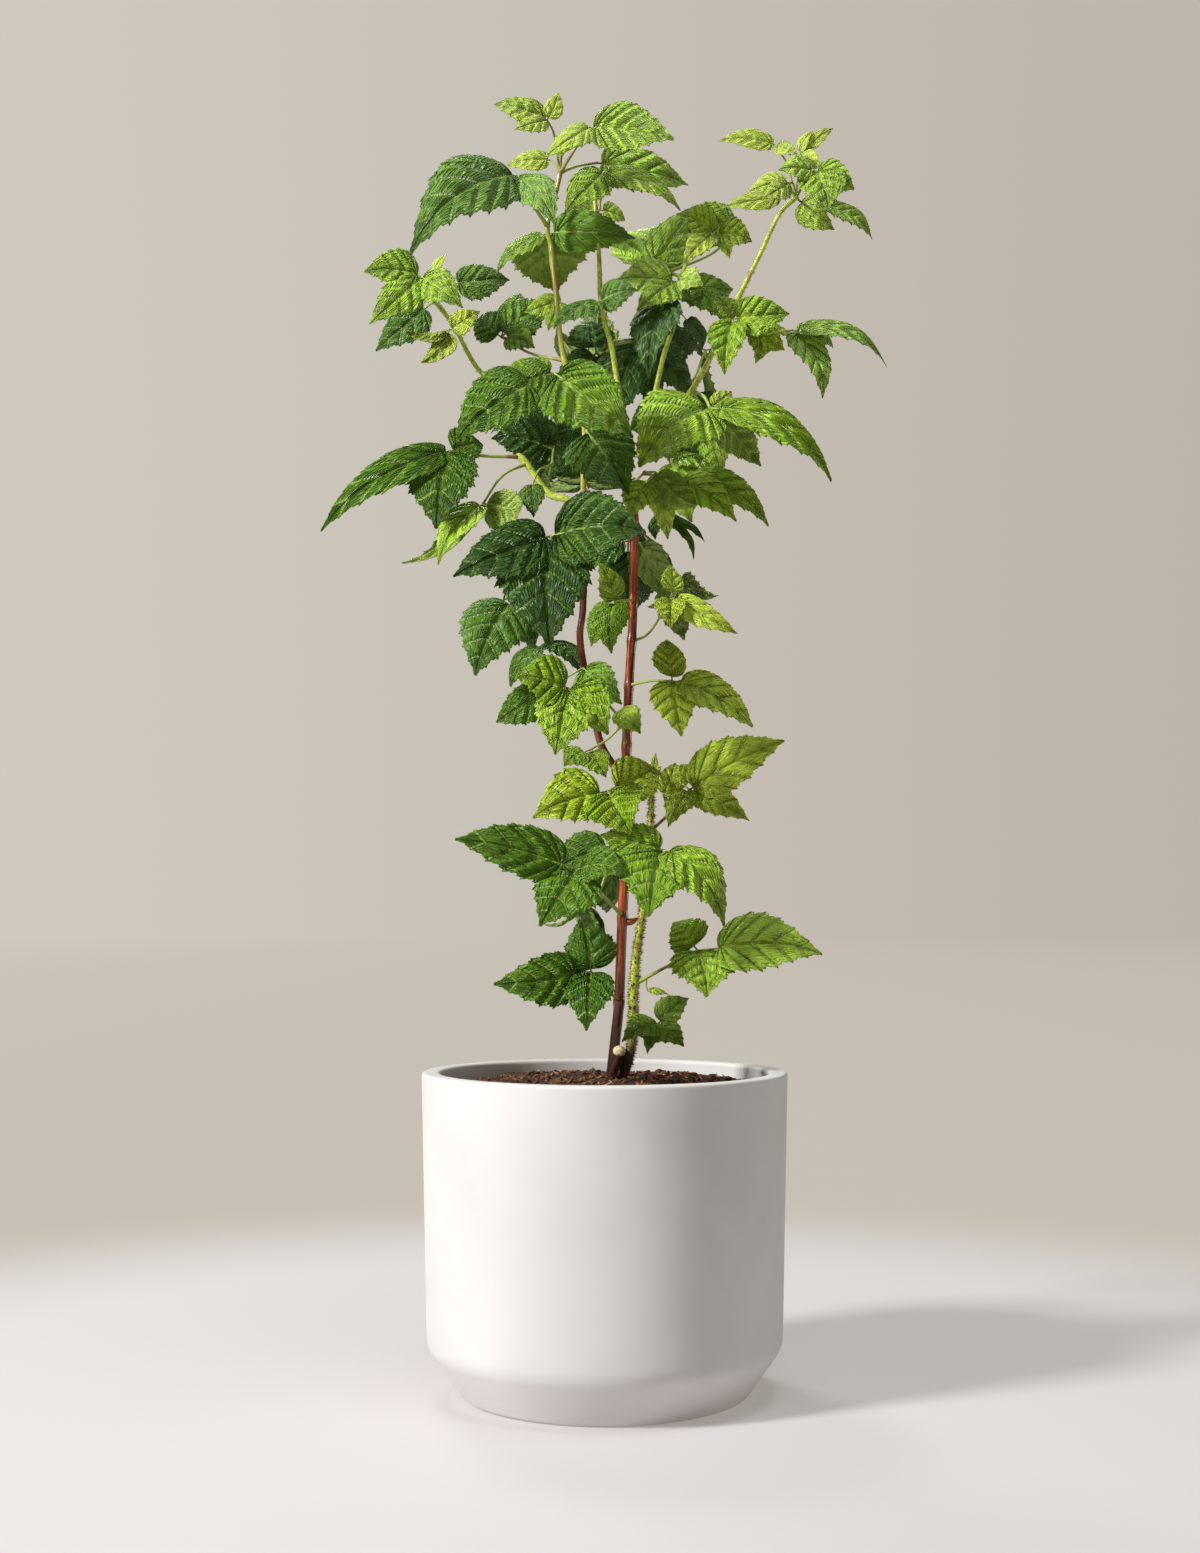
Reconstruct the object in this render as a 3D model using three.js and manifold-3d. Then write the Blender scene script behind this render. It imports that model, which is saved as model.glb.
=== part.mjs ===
// A potted raspberry plant: a tapered matt clay pot, bark compost, a root crown, woody and green
// canes, and compound leaves whose leaflets hang from thin stalks.
// Millimetres, +Z up. The origin is the middle of the pot's underside. X runs to the right, Y to the back.
import * as THREE from "three";
import { mergeVertices } from "three/addons/utils/BufferGeometryUtils.js";
import Module from "manifold-3d";

const wasm = await Module();
wasm.setup();

// ---------- Driving dimensions ----------
const POT_HEIGHT = 219;
const POT_RIM_RADIUS = 127;
const POT_CREASE_RADIUS = 122.5;
const POT_CREASE_HEIGHT = 33.5;
const POT_FOOT_RADIUS = 98.5;
const POT_WALL = 13;
const POT_FLOOR = 18;
const RIM_ROUND = 3;
const FOOT_ROUND = 4;
const FOOT_FLARE = 2; // how far the foot's rounding spreads
const CREASE_ROUND = 4;
const FLOOR_INSET = 3; // the inner floor's edge, measured in from the foot
const POT_SIDES = 44;

const SOIL_EDGE_HEIGHT = 207;
const SOIL_MOUND = 8;
const SOIL_FLATNESS = 4; // the higher, the flatter the middle and the steeper the edge
const SOIL_RINGS = [1, 0.85, 0.65, 0.35, 0]; // as shares of the compost's radius
const GAP = 0.3;

const CROWN_CENTRE = [12, -2, 158];
const CROWN_RADIUS = 20;
const CROWN_SQUASH = 0.8;
const ROOT_COUNT = 5;
const ROOT_REACH = 62;
const ROOT_DROP = 75;
const ROOT_RADIUS = 3.2;
const ROOT_TAPER = 0.4; // a root's end radius as a share of its start radius
const ROOT_MIDWAY_DROP = 0.2; // share of its drop that a root has made half way along

const CANE_SIDES = 8;
const CANE_SAMPLES = 200;
const STALK_SIDES = 3;
const ROOT_SIDES = 5;
const STALK_RADIUS = 1.3;
const LEAFLET_STALK_RADIUS = 0.95;
const BUD_RADIUS = [2.2, 0.9];
const LEAFLET_SINK = 1.2; // how far a leaflet starts inside the end of its stalk
const LONG_STALK = 5; // a leaflet's own stalk shows as a narrow neck from this length up

const BLADE_THICKNESS = 1.2;
const BLADE_ARCH = 0.07; // rise of the midrib at its middle, as a share of the leaflet's length
const BLADE_FOLD = 0.18; // rise of the margins, as a share of the half width
// Share of the length and share of the half width, from base to tip.
const BLADE_STATIONS = [
  [0.16, 0.78],
  [0.46, 1],
  [0.78, 0.52],
];
const SMALL_BLADE = 22; // narrower leaflets than this are plain folded lozenges
const SMALL_BLADE_STATIONS = [[0.42, 1]];
// Leaflets face up and towards the front unless they are turned.
const FACING = new THREE.Vector3(0, -0.8, 0.6);

// ---------- Materials ----------
const paint = (color, roughness) => new THREE.MeshStandardMaterial({ color, roughness, metalness: 0 });
const CLAY = paint(0xe3ddd3, 0.75);
const BARK_SOIL = paint(0x33241c, 0.95);
const ROOT = paint(0x7a5b40, 0.9);
const RED_BARK = paint(0x5e2f22, 0.45);
const GREEN_STEM = paint(0x6f8a3c, 0.5);
const LEAF_PAINT = {
  old: paint(0x2f4a1f, 0.5),
  mid: paint(0x4b6d27, 0.5),
  young: paint(0x8aa83c, 0.5),
};

// ---------- Canes ----------
// Each cane: its path from the lower end to the upper end, its radius at each end, a side bud's
// path where it has one, and the folded leaflets at its tip where it ends in a growing tip.
const CANES = {
  cane_main: {
    path: [
      [9, 0, 166], [5, 0, 209], [7, 0, 236], [10, 0, 265], [12, 0, 313], [14, 0, 360],
      [15, 2, 426], [17, 3, 483], [20, 4, 536], [21, 4, 592], [21, 4, 637],
    ],
    radius: [3.9, 2.9],
    paint: RED_BARK,
    bud: [[14, 0, 322], [19, -1, 323], [23, -2, 325]],
  },
  cane_left: {
    path: [
      [8, 2, 430], [-2, -4, 446], [-7, -6, 466], [-17, -6, 518], [-15, -6, 549],
      [-15, -4, 635], [-15, -2, 679], [-29, 0, 724], [-34, 0, 764], [-38, 0, 804],
      [-41, 0, 821], [-34, 0, 849], [-32, 0, 860],
    ],
    radius: [2.7, 1.6],
    paint: RED_BARK,
  },
  stem_middle: {
    path: [
      [20, 5, 660], [11, 6, 699], [5, 6, 735], [0, 2, 752], [-3, 0, 772], [-4, 5, 803],
      [-7, 10, 843],
    ],
    radius: [2.2, 1.4],
    paint: GREEN_STEM,
  },
  stem_right: {
    path: [
      [24, 8, 655], [31, 14, 687], [36, 16, 701], [43, 18, 732], [51, 18, 757], [53, 20, 779],
      [62, 25, 810],
    ],
    radius: [2.2, 1.4],
    paint: GREEN_STEM,
  },
  stem_far_right: {
    path: [
      [36, 14, 668], [51, 18, 688], [65, 20, 709], [79, 20, 735], [95, 20, 770], [113, 18, 806],
      [127, 16, 835], [140, 15, 848],
    ],
    radius: [2.4, 1.5],
    paint: GREEN_STEM,
  },
  stem_upper_left: {
    path: [
      [-19, -2, 688], [-53, 0, 698], [-87, 0, 713], [-108, 0, 748], [-122, 0, 767],
      [-129, 0, 776],
    ],
    radius: [1.9, 1.4],
    paint: GREEN_STEM,
  },
  stem_mid_left: {
    path: [[-15, -4, 619], [-27, -2, 622], [-39, 0, 626], [-47, 0, 636], [-57, 0, 650], [-62, 0, 654]],
    radius: [2.6, 2],
    paint: GREEN_STEM,
  },
  cane_young: {
    path: [
      [15, -3, 166], [13, -5, 210], [16, -6, 227], [19, -6, 240], [20, -5, 262], [20, -5, 273],
      [23, -6, 305], [27, -7, 332], [30, -8, 359], [32, -8, 383], [33, -8, 415],
    ],
    radius: [4.1, 2],
    paint: GREEN_STEM,
    tip: [
      [[34, -8, 418], [34, -8, 421], [[2, -1, 20, 7, 0, 1], [-5, -4, 9, 6, 30, 1], [6, 4, 11, 6, 0, 1]]],
    ],
  },
  cane_cut_stub: {
    path: [[10, -6, 166], [4, -9, 208], [10, -11, 232]],
    radius: [4.2, 3.9],
    paint: RED_BARK,
  },
};

// ---------- Leaves ----------
// Each leaf: the cane it grows from, the height where it leaves the cane, its age, and its sprays.
// A spray: where its stalk bends, where its leaflets meet, its leaflets, and where its stalk forks
// off if that isn't the cane.
// A leaflet: how far its tip reaches in x, y and z from where the leaflets meet, its width,
// its turn about its own length in degrees, the length of its own short stalk and, where it droops
// more or less than most, its arch.
const LEAVES = {
  leaf_top: ["cane_left", 860, "mid", [
    [[-36, -4, 886], [-41, -7, 896], [
      [-38, -5, 11, 20, -30, 2, 0.12], [-23, -15, -13, 15, -25, 2], [8, -5, 19, 13, 30, 2],
    ]],
    [[-21, -7, 875], [-10, -14, 888], [
      [-32, -20, -28, 18, -15, 2], [59, -10, -12, 40, 20, 2, 0],
    ]],
    [[-20, 11, 869], [-5, 17, 874], [
      [68, 13, -10, 33, 28, 3],
    ]],
    [[-35, 7, 868], [-39, 9, 873], [
      [-32, 2, -3, 15, -30, 2, 0.14],
    ]],
    [[-30, -6, 874], [-25, -11, 882], [
      [-8, -16, -22, 13, -20, 2], [9, 10, 15, 9, 30, 1],
    ]],
  ]],
  leaf_top_left: ["cane_left", 821, "old", [
    [[-50, -21, 828], [-62, -31, 846], [
      [-72, -28, -57, 50, -14, 3, 0.16], [28, -28, -43, 28, 10, 3],
    ]],
  ]],
  leaf_top_back: ["cane_left", 803, "mid", [
    [[-40, 11, 814], [-42, 17, 822], [
      [64, -12, -8, 30, 40, 6], [6, 28, -35, 56, 186, 3], [-38, -7, -31, 22, 12, 4],
    ]],
    [[-38, 11, 792], [-32, 20, 773], [
      [-9, -8, -24, 18, 0, 3], [-26, -4, -10, 16, -30, 3],
    ], [-40, 11, 814]],
  ]],
  leaf_middle_top: ["stem_middle", 842, "mid", [
    [[-3, 11, 856], [0, 4, 862], [
      [-29, -15, -34, 30, -5, 2], [55, -10, -28, 22, 5, 2],
    ]],
    [[-3, 24, 853], [-3, 28, 843], [
      [-27, 10, 3, 15, -25, 2], [19, 10, -4, 16, 25, 2],
    ], [-3, 11, 856]],
  ]],
  leaf_right_tip: ["stem_far_right", 847, "mid", [
    [[133, 14, 871], [124, 11, 885], [
      [-41, -3, 3, 15, -30, 2], [15, -8, -10, 12, 20, 2],
    ]],
    [[142, 21, 870], [143, 23, 884], [
      [26, 4, 21, 10, 30, 2], [16, -8, -15, 14, 30, 2], [9, -2, 16, 8, 0, 1],
    ]],
    [[146, 14, 859], [152, 7, 864], [
      [28, -5, -14, 26, 30, 2], [8, -13, -33, 32, 10, 2], [-26, -11, -2, 20, -25, 3],
    ]],
    [[142, 31, 852], [144, 37, 853], [
      [24, -6, -24, 21, 58, 2], [56, 4, -23, 27, -8, 20],
    ]],
    [[136, 11, 851], [133, 3, 854], [
      [-30, -2, -8, 15, -35, 2], [-20, -12, -16, 16, -30, 2],
    ]],
    [[136, 11, 857], [127, 4, 844], [
      [-43, -10, -10, 15, -25, 2],
    ]],
  ]],
  leaf_right_stem_tip: ["stem_right", 809, "young", [
    [[71, 34, 822], [81, 31, 827], [
      [-28, -7, 12, 22, -30, 3], [27, -4, -8, 23, 30, 3], [-24, -17, -29, 18, -15, 4],
      [12, 8, -17, 11, 20, 3],
    ]],
  ]],
  leaf_right_upright: ["stem_right", 791, "mid", [
    [[46, 37, 799], [34, 43, 803], [
      [11, 38, 47, 54, 0, 2], [31, 22, 55, 30, 20, 3],
    ]],
    [[80, 48, 817], [99, 65, 841], [
      [-46, -8, 5, 34, -30, 3, 0.12],
    ], [46, 37, 799]],
  ]],
  leaf_right_pale: ["stem_right", 778, "mid", [
    [[53, 11, 779], [51, 0, 780], [
      [-43, -15, -2, 33, -20, 3], [-28, -25, -27, 27, -12, 3], [18, -20, -8, 20, 30, 3],
    ]],
  ]],
  leaf_right_inner: ["stem_right", 768, "mid", [
    [[54, 34, 781], [58, 43, 789], [
      [36, -15, -31, 33, -10, 3], [39, 20, 6, 25, 40, 4],
    ]],
  ]],
  leaf_far_right_front: ["stem_far_right", 774, "young", [
    [[95, 14, 765], [92, 0, 753], [
      [40, -5, 3, 30, 25, 3], [-7, -15, -44, 25, 0, 4], [-12, 4, 18, 17, 0, 2],
    ]],
  ]],
  leaf_far_right_back: ["stem_far_right", 764, "young", [
    [[101, 37, 764], [109, 40, 761], [
      [3, 0, -29, 24, -38, 2], [23, -6, -21, 25, 68, 2], [38, 12, -12, 16, -18, 16],
    ]],
  ]],
  leaf_right_hanging: ["stem_right", 752, "old", [
    [[46, 2, 759], [44, -8, 764], [
      [-15, -25, -58, 33, 15, 2], [28, 5, -33, 24, -20, 20],
    ]],
  ]],
  leaf_middle_low: ["stem_middle", 735, "old", [
    [[15, 21, 742], [26, 34, 746], [
      [-20, -9, -61, 40, 0, 3], [8, 5, -50, 27, -20, 4], [-29, 16, -1, 24, 30, 7],
      [46, 28, 11, 36, 20, 4], [42, 24, -37, 36, 0, 4],
    ]],
    [[1, 37, 739], [-6, 57, 745], [
      [-27, 6, -35, 34, -10, 3], [21, 12, -32, 36, 10, 3], [-5, 12, 29, 32, 0, 4],
    ], [5, 6, 735]],
  ]],
  leaf_middle_front: ["stem_middle", 772, "old", [
    [[-3, -17, 762], [-3, -28, 757], [
      [-33, -15, -20, 24, 10, 3], [25, -10, 6, 25, 20, 2],
    ]],
  ]],
  leaf_far_right_low: ["stem_far_right", 749, "old", [
    [[114, 28, 751], [137, 21, 751], [
      [69, -5, -23, 23, -8, 3, 0.14], [22, -15, -50, 26, -12, 3], [33, 15, -7, 14, 20, 10],
    ]],
  ]],
  leaf_left_tip: ["stem_upper_left", 775, "mid", [
    [[-130, -4, 779], [-131, -9, 781], [
      [-39, -9, 1, 31, -20, 2], [-33, -24, -40, 29, -18, 3], [31, -19, -27, 27, 18, 3],
    ]],
    [[-127, 3, 783], [-124, 3, 787], [
      [10, 3, 16, 7, 0, 1], [7, -8, 1, 6, 0, 1],
    ], [-130, -4, 779]],
  ]],
  leaf_left_back: ["stem_upper_left", 766, "old", [
    [[-114, 17, 780], [-110, 26, 787], [
      [41, 7, 7, 26, 28, 3],
    ]],
  ]],
  leaf_left_outer: ["stem_upper_left", 762, "old", [
    [[-124, 14, 769], [-129, 23, 769], [
      [-37, -6, -33, 27, -20, 3],
    ]],
  ]],
  leaf_left_underside: ["stem_upper_left", 748, "young", [
    [[-108, -14, 742], [-109, -20, 739], [
      [-31, -1, -2, 24, 206, 3], [-19, -16, -29, 19, 190, 3], [21, -6, 12, 17, 30, 2],
    ]],
  ]],
  leaf_left_inner: ["cane_left", 723, "old", [
    [[-53, 11, 731], [-75, 21, 746], [
      [-20, 5, 16, 27, -20, 3], [37, 10, 30, 30, 20, 4], [24, -10, -9, 22, 15, 6],
      [13, 15, 39, 24, 0, 4],
    ]],
  ]],
  leaf_front_high: ["cane_left", 714, "mid", [
    [[-30, -57, 697], [-34, -88, 689], [
      [52, -23, -45, 50, 14, 3], [-64, -18, -48, 43, -12, 20], [-34, 12, 7, 21, -20, 3],
      [-26, -8, -11, 28, -14, 2],
    ]],
  ]],
  leaf_front_small: ["cane_left", 680, "mid", [
    [[-13, -28, 667], [-12, -43, 660], [
      [28, -20, -46, 46, 6, 2],
    ]],
  ]],
  leaf_right_fan: ["stem_far_right", 706, "mid", [
    [[70, -14, 693], [73, -43, 677], [
      [-50, -30, -46, 56, -6, 4, 0.1], [85, 5, -49, 32, -2, 5, 0.19], [35, 20, -36, 27, 214, 10],
      [16, 10, 15, 13, 30, 3],
    ]],
    [[76, -7, 677], [77, -9, 665], [
      [5, -14, -29, 20, 0, 2],
    ]],
  ]],
  leaf_right_middle: ["cane_main", 635, "mid", [
    [[36, -14, 634], [52, -26, 631], [
      [38, -22, -33, 24, 22, 3], [63, -2, -32, 26, 10, 6, 0.14],
    ]],
    [[28, -28, 635], [35, -40, 633], [
      [28, -22, -29, 25, 200, 2], [-18, -12, -34, 23, 0, 12], [9, 8, -46, 18, 10, 3],
    ]],
    [[46, 28, 644], [49, 37, 660], [
      [37, -6, -10, 34, -23, 3], [12, -12, -48, 34, 38, 4],
    ], [28, -28, 635]],
  ]],
  leaf_right_back: ["cane_main", 628, "old", [
    [[33, 28, 628], [42, 37, 621], [
      [32, -1, -21, 13, -23, 2], [-6, -16, -23, 18, 38, 4], [26, -2, -33, 13, -28, 3],
    ]],
  ]],
  leaf_far_left: ["stem_mid_left", 653, "mid", [
    [[-87, -7, 652], [-109, -17, 653], [
      [-91, -8, -55, 26, -14, 3, 0.17], [-7, -28, -60, 46, 0, 3], [23, 16, 9, 27, 20, 3],
    ]],
  ]],
  leaf_mid_left: ["stem_mid_left", 648, "mid", [
    [[-72, -14, 636], [-85, -21, 615], [
      [-55, 5, -44, 23, -160, 14], [-31, -20, -44, 25, 10, 3], [30, -25, -7, 28, 214, 3, 0.12],
    ]],
  ]],
  leaf_mid_left_inner: ["stem_mid_left", 629, "old", [
    [[-38, 17, 651], [-37, 26, 665], [
      [-45, -3, 8, 32, -30, 4], [-10, 7, -29, 27, 20, 3], [-40, 22, 40, 32, -20, 4],
      [5, 12, 24, 30, 0, 3],
    ]],
    [[-46, -11, 641], [-50, -26, 628], [
      [1, -15, -26, 17, 0, 2],
    ], [-38, 17, 651]],
  ]],
  leaf_front_trio: ["cane_left", 578, "old", [
    [[-27, -50, 580], [-36, -78, 581], [
      [-64, -20, -28, 41, -14, 4], [62, -20, 1, 56, 14, 3], [0, -30, -78, 59, 0, 4],
    ]],
  ]],
  leaf_behind_cane: ["cane_main", 598, "old", [
    [[23, 21, 597], [26, 28, 596], [
      [21, 20, -40, 27, 182, 2],
    ]],
  ]],
  leaf_right_small: ["cane_main", 522, "young", [
    [[32, 7, 528], [48, 14, 554], [
      [0, 5, 25, 17, 30, 4], [-1, -15, -24, 21, 0, 3], [47, -5, -26, 18, 25, 5],
    ]],
  ]],
  leaf_left_low: ["cane_left", 557, "old", [
    [[-42, -11, 548], [-65, -28, 544], [
      [-24, -15, -52, 43, -6, 2], [18, 25, -30, 26, 0, 7],
    ]],
    [[-42, 17, 537], [-43, 36, 525], [
      [-26, -5, -32, 27, 28, 6], [26, -20, -21, 24, -18, 4],
    ], [-42, -12, 549]],
  ]],
  leaf_cane_cluster: ["cane_main", 551, "mid", [
    [[12, -17, 547], [7, -28, 544], [
      [-3, -20, -36, 26, 10, 2], [-17, 5, -30, 22, 0, 3], [-10, -10, 26, 19, 0, 2],
    ]],
  ]],
  leaf_bright_trio: ["cane_left", 475, "mid", [
    [[-18, -43, 476], [-25, -64, 480], [
      [-35, -10, 8, 35, -16, 2], [27, -15, -31, 36, 14, 2], [-8, -20, -46, 38, 0, 4],
    ]],
  ]],
  leaf_left_dark: ["cane_main", 461, "old", [
    [[-3, -17, 481], [-15, -21, 499], [
      [26, -15, -25, 28, 20, 2], [-62, 10, -37, 25, -35, 34],
    ]],
  ]],
  leaf_cane_low: ["cane_main", 447, "mid", [
    [[12, -21, 459], [9, -34, 468], [
      [15, -16, -17, 18, 20, 2],
    ]],
    [[2, -23, 449], [-9, -26, 442], [
      [-19, -10, -12, 20, 0, 7], [10, -12, -20, 19, 0, 3],
    ], [12, -21, 459]],
  ]],
  leaf_right_trio: ["cane_main", 490, "young", [
    [[32, -11, 491], [47, -21, 490], [
      [-3, 15, 32, 22, 10, 3], [6, -15, -40, 30, 0, 2], [56, -5, -32, 29, 2, 6, 0.15],
    ]],
  ]],
  leaf_cane_lime: ["cane_main", 415, "young", [
    [[7, -21, 414], [2, -40, 412], [
      [-50, -17, -18, 37, -20, 6], [15, -22, -30, 40, 12, 4], [34, 28, 19, 32, 24, 7],
    ]],
  ]],
  leaf_young_high: ["cane_young", 386, "young", [
    [[47, -3, 400], [60, 7, 416], [
      [67, -5, 35, 35, 22, 3, 0.04], [41, -15, -22, 22, 20, 4], [-18, 15, 15, 26, -20, 4],
      [-16, -25, -27, 20, 0, 4],
    ]],
    [[43, -7, 406], [41, -11, 411], [
      [9, 10, 24, 16, 10, 2],
    ], [47, -3, 400]],
  ]],
  leaf_low_left: ["cane_main", 326, "mid", [
    [[-3, -28, 343], [-18, -57, 358], [
      [-81, -20, 21, 36, -18, 10, 0.03], [-25, -30, -36, 44, 0, 3], [32, -20, -2, 28, 10, 3, 0.12],
    ]],
  ]],
  leaf_low_front: ["cane_young", 359, "mid", [
    [[37, -36, 367], [40, -54, 371], [
      [-11, -32, -44, 48, 0, 2], [40, -17, -50, 32, -4, 3, 0.2], [-43, 4, 11, 27, -28, 3],
    ]],
  ]],
  leaf_bottom_left: ["cane_main", 268, "mid", [
    [[-1, -28, 279], [-9, -50, 289], [
      [-64, -20, -6, 34, -22, 12], [-8, 5, 36, 34, 0, 2], [-3, -35, -36, 32, 0, 2],
    ]],
  ]],
  leaf_bottom_right: ["cane_young", 279, "mid", [
    [[38, -12, 289], [64, -25, 303], [
      [-17, 10, 20, 28, -16, 4], [5, -25, -29, 43, 0, 2], [83, -20, -1, 39, 18, 15, 0.11],
    ]],
    [[29, -9, 278], [30, -10, 275], [
      [15, 2, -2, 10, -30, 1],
    ], [29, -8, 284]],
  ]],
  leaf_back_upper: ["cane_left", 690, "old", [
    [[-30, 36, 703], [-39, 78, 706], [
      [-48, 15, -12, 34, 0, 3], [37, 25, -10, 34, 0, 3], [-5, 30, -49, 44, 0, 8],
    ]],
    [[-24, 71, 711], [-4, 91, 742], [
      [-34, 16, 33, 36, -160, 4], [35, 18, 33, 36, 160, 4], [1, 28, 60, 40, 180, 6],
    ], [-30, 36, 703]],
  ]],
  leaf_back_right: ["stem_right", 700, "old", [
    [[51, 62, 709], [61, 94, 712], [
      [46, 20, -15, 32, 38, 3], [-43, 18, -12, 32, -38, 3], [5, 25, -49, 42, 38, 8],
    ]],
    [[67, 77, 730], [77, 94, 757], [
      [36, 8, 18, 32, 122, 4], [-25, 18, 31, 32, 238, 4], [10, 26, -32, 38, 142, 6],
    ], [51, 62, 709]],
  ]],
  leaf_back_middle: ["cane_main", 610, "old", [
    [[24, 50, 615], [18, 92, 610], [
      [-48, 10, -15, 32, 0, 3], [37, 20, -20, 32, 0, 3], [0, 25, -53, 44, 0, 8],
    ]],
    [[-6, 57, 634], [-14, 88, 651], [
      [-35, 12, 7, 32, -160, 4], [33, 22, 17, 34, 160, 4], [-3, 38, 44, 40, 180, 6],
    ], [24, 50, 615]],
    [[45, 57, 585], [56, 68, 579], [
      [27, 12, -16, 26, 160, 4], [-20, 16, -23, 26, 200, 4], [4, 28, -44, 32, 180, 6],
    ], [24, 50, 615]],
  ]],
  leaf_back_low: ["cane_main", 380, "old", [
    [[8, 50, 386], [4, 88, 379], [
      [-45, 15, -20, 30, -38, 3], [43, 15, -20, 30, 38, 3], [0, 25, -51, 40, -38, 8],
    ]],
    [[-3, 37, 345], [-13, 62, 338], [
      [-28, 8, -21, 28, -122, 4], [17, 20, -32, 28, 122, 4], [-5, 30, -47, 34, 218, 6],
    ], [8, 50, 386]],
  ]],
  leaf_bottom_dark: ["cane_young", 248, "old", [
    [[30, -12, 250], [37, -18, 253], [
      [-24, -22, -8, 22, 0, 2], [21, 3, 18, 19, 10, 2], [17, -17, -14, 19, 0, 2],
      [-8, -17, -19, 12, 0, 3],
    ]],
  ]],
};

// ---------- Solids ----------
const point = ([x, y, z]) => new THREE.Vector3(x, y, z);

function solidFrom(points, triangles) {
  const mesh = { numProp: 3, vertProperties: new Float32Array(points.flatMap((p) => [p.x, p.y, p.z])) };
  return new wasm.Manifold(new wasm.Mesh({ ...mesh, triVerts: new Uint32Array(triangles.flat()) }));
}

function solidFromGeometry(geometry) {
  const bare = geometry.clone().deleteAttribute("normal").deleteAttribute("uv");
  const merged = mergeVertices(bare, 1e-4);
  const triVerts = new Uint32Array(merged.index.array);
  return new wasm.Manifold(
    new wasm.Mesh({ numProp: 3, vertProperties: merged.attributes.position.array, triVerts }),
  );
}

function meshFrom(name, solid, material) {
  const { vertProperties, triVerts } = solid.getMesh();
  const geometry = new THREE.BufferGeometry();
  geometry.setAttribute("position", new THREE.BufferAttribute(vertProperties, 3));
  geometry.setIndex(new THREE.BufferAttribute(triVerts, 1));
  geometry.computeVertexNormals();
  const mesh = new THREE.Mesh(geometry, material);
  mesh.name = name;
  return mesh;
}

const joined = (solids) => solids.reduce((sum, solid) => sum.add(solid));

// A closed round bar along a curve. Its radius runs evenly from one end's to the other's.
function bar(curve, [startRadius, endRadius], sides, rings, grow = 0) {
  const frames = curve.computeFrenetFrames(rings, false);
  const points = [];
  const triangles = [];
  for (let ring = 0; ring <= rings; ring += 1) {
    const along = ring / rings;
    const radius = THREE.MathUtils.lerp(startRadius, endRadius, along) + grow;
    const middle = curve.getPointAt(along);
    for (let side = 0; side < sides; side += 1) {
      const angle = (2 * Math.PI * side) / sides;
      const edge = frames.normals[ring].clone().multiplyScalar(Math.cos(angle) * radius);
      edge.addScaledVector(frames.binormals[ring], Math.sin(angle) * radius);
      points.push(edge.add(middle));
    }
  }
  for (let ring = 0; ring < rings; ring += 1) {
    for (let side = 0; side < sides; side += 1) {
      const here = ring * sides + side;
      const next = ring * sides + ((side + 1) % sides);
      triangles.push([here, next, next + sides], [here, next + sides, here + sides]);
    }
  }
  const last = rings * sides;
  for (let side = 1; side < sides - 1; side += 1) {
    triangles.push([0, side + 1, side], [last, last + side, last + side + 1]);
  }
  return solidFrom(points, triangles);
}

const smoothCurve = (points) => new THREE.CatmullRomCurve3(points, false, "catmullrom", 0.5);
const caneCurves = Object.fromEntries(
  Object.entries(CANES).map(([name, cane]) => [name, smoothCurve(cane.path.map(point))]),
);

function canePointAtHeight(name, height) {
  const samples = caneCurves[name].getSpacedPoints(CANE_SAMPLES);
  return samples.reduce((best, p) => (Math.abs(p.z - height) < Math.abs(best.z - height) ? p : best));
}

// One leaflet: an arched, slightly folded blade that is widest near its middle.
function blade(base, tip, width, turnDegrees, neck, arch) {
  const axis = tip.clone().sub(base);
  const length = axis.length();
  axis.normalize();
  const face = FACING.clone().addScaledVector(axis, -FACING.dot(axis)).normalize();
  const side = axis.clone().cross(face);
  const turn = THREE.MathUtils.degToRad(turnDegrees);
  const up = face.clone().multiplyScalar(Math.cos(turn)).addScaledVector(side, Math.sin(turn));
  const across = side.multiplyScalar(Math.cos(turn)).addScaledVector(face, -Math.sin(turn));
  const place = (along, out, lift) => {
    const rise = arch * length * 4 * along * (1 - along);
    const middle = base.clone().addScaledVector(axis, length * along);
    return middle.addScaledVector(up, rise + lift).addScaledVector(across, out);
  };
  const stations = width < SMALL_BLADE ? SMALL_BLADE_STATIONS : BLADE_STATIONS;
  const rows = stations.map(([along, share]) => [neck + (1 - neck) * along, (share * width) / 2]);
  if (neck > 0) {
    rows.unshift([neck, LEAFLET_STALK_RADIUS]);
  }
  const outline = [[[0, 0, 0]]];
  for (const [along, out] of rows) {
    outline.push([[along, out, BLADE_FOLD * out], [along, 0, 0], [along, -out, BLADE_FOLD * out]]);
  }
  outline.push([[1, 0, 0]]);
  const layer = (lift) => outline.flat().map(([along, out, fold]) => place(along, out, fold + lift));
  const count = 3 * rows.length + 2;
  const end = count - 1;
  const top = [[0, 1, 2], [0, 2, 3], [end - 3, end, end - 2], [end - 2, end, end - 1]];
  const left = [];
  const right = [];
  rows.forEach((_, row) => {
    const first = 1 + 3 * row;
    left.push(first);
    right.push(first + 2);
    if (row < rows.length - 1) {
      for (const k of [first, first + 1]) {
        top.push([k, k + 3, k + 4], [k, k + 4, k + 1]);
      }
    }
  });
  const under = top.map(([a, b, c]) => [a + count, c + count, b + count]);
  const rim = [0, ...right, end, ...left.reverse()];
  const edge = rim.flatMap((a, k) => {
    const b = rim[(k + 1) % rim.length];
    return [[a, b, b + count], [a, b + count, a + count]];
  });
  const half = BLADE_THICKNESS / 2;
  return solidFrom([...layer(half), ...layer(-half)], [...top, ...under, ...edge]);
}

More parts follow.
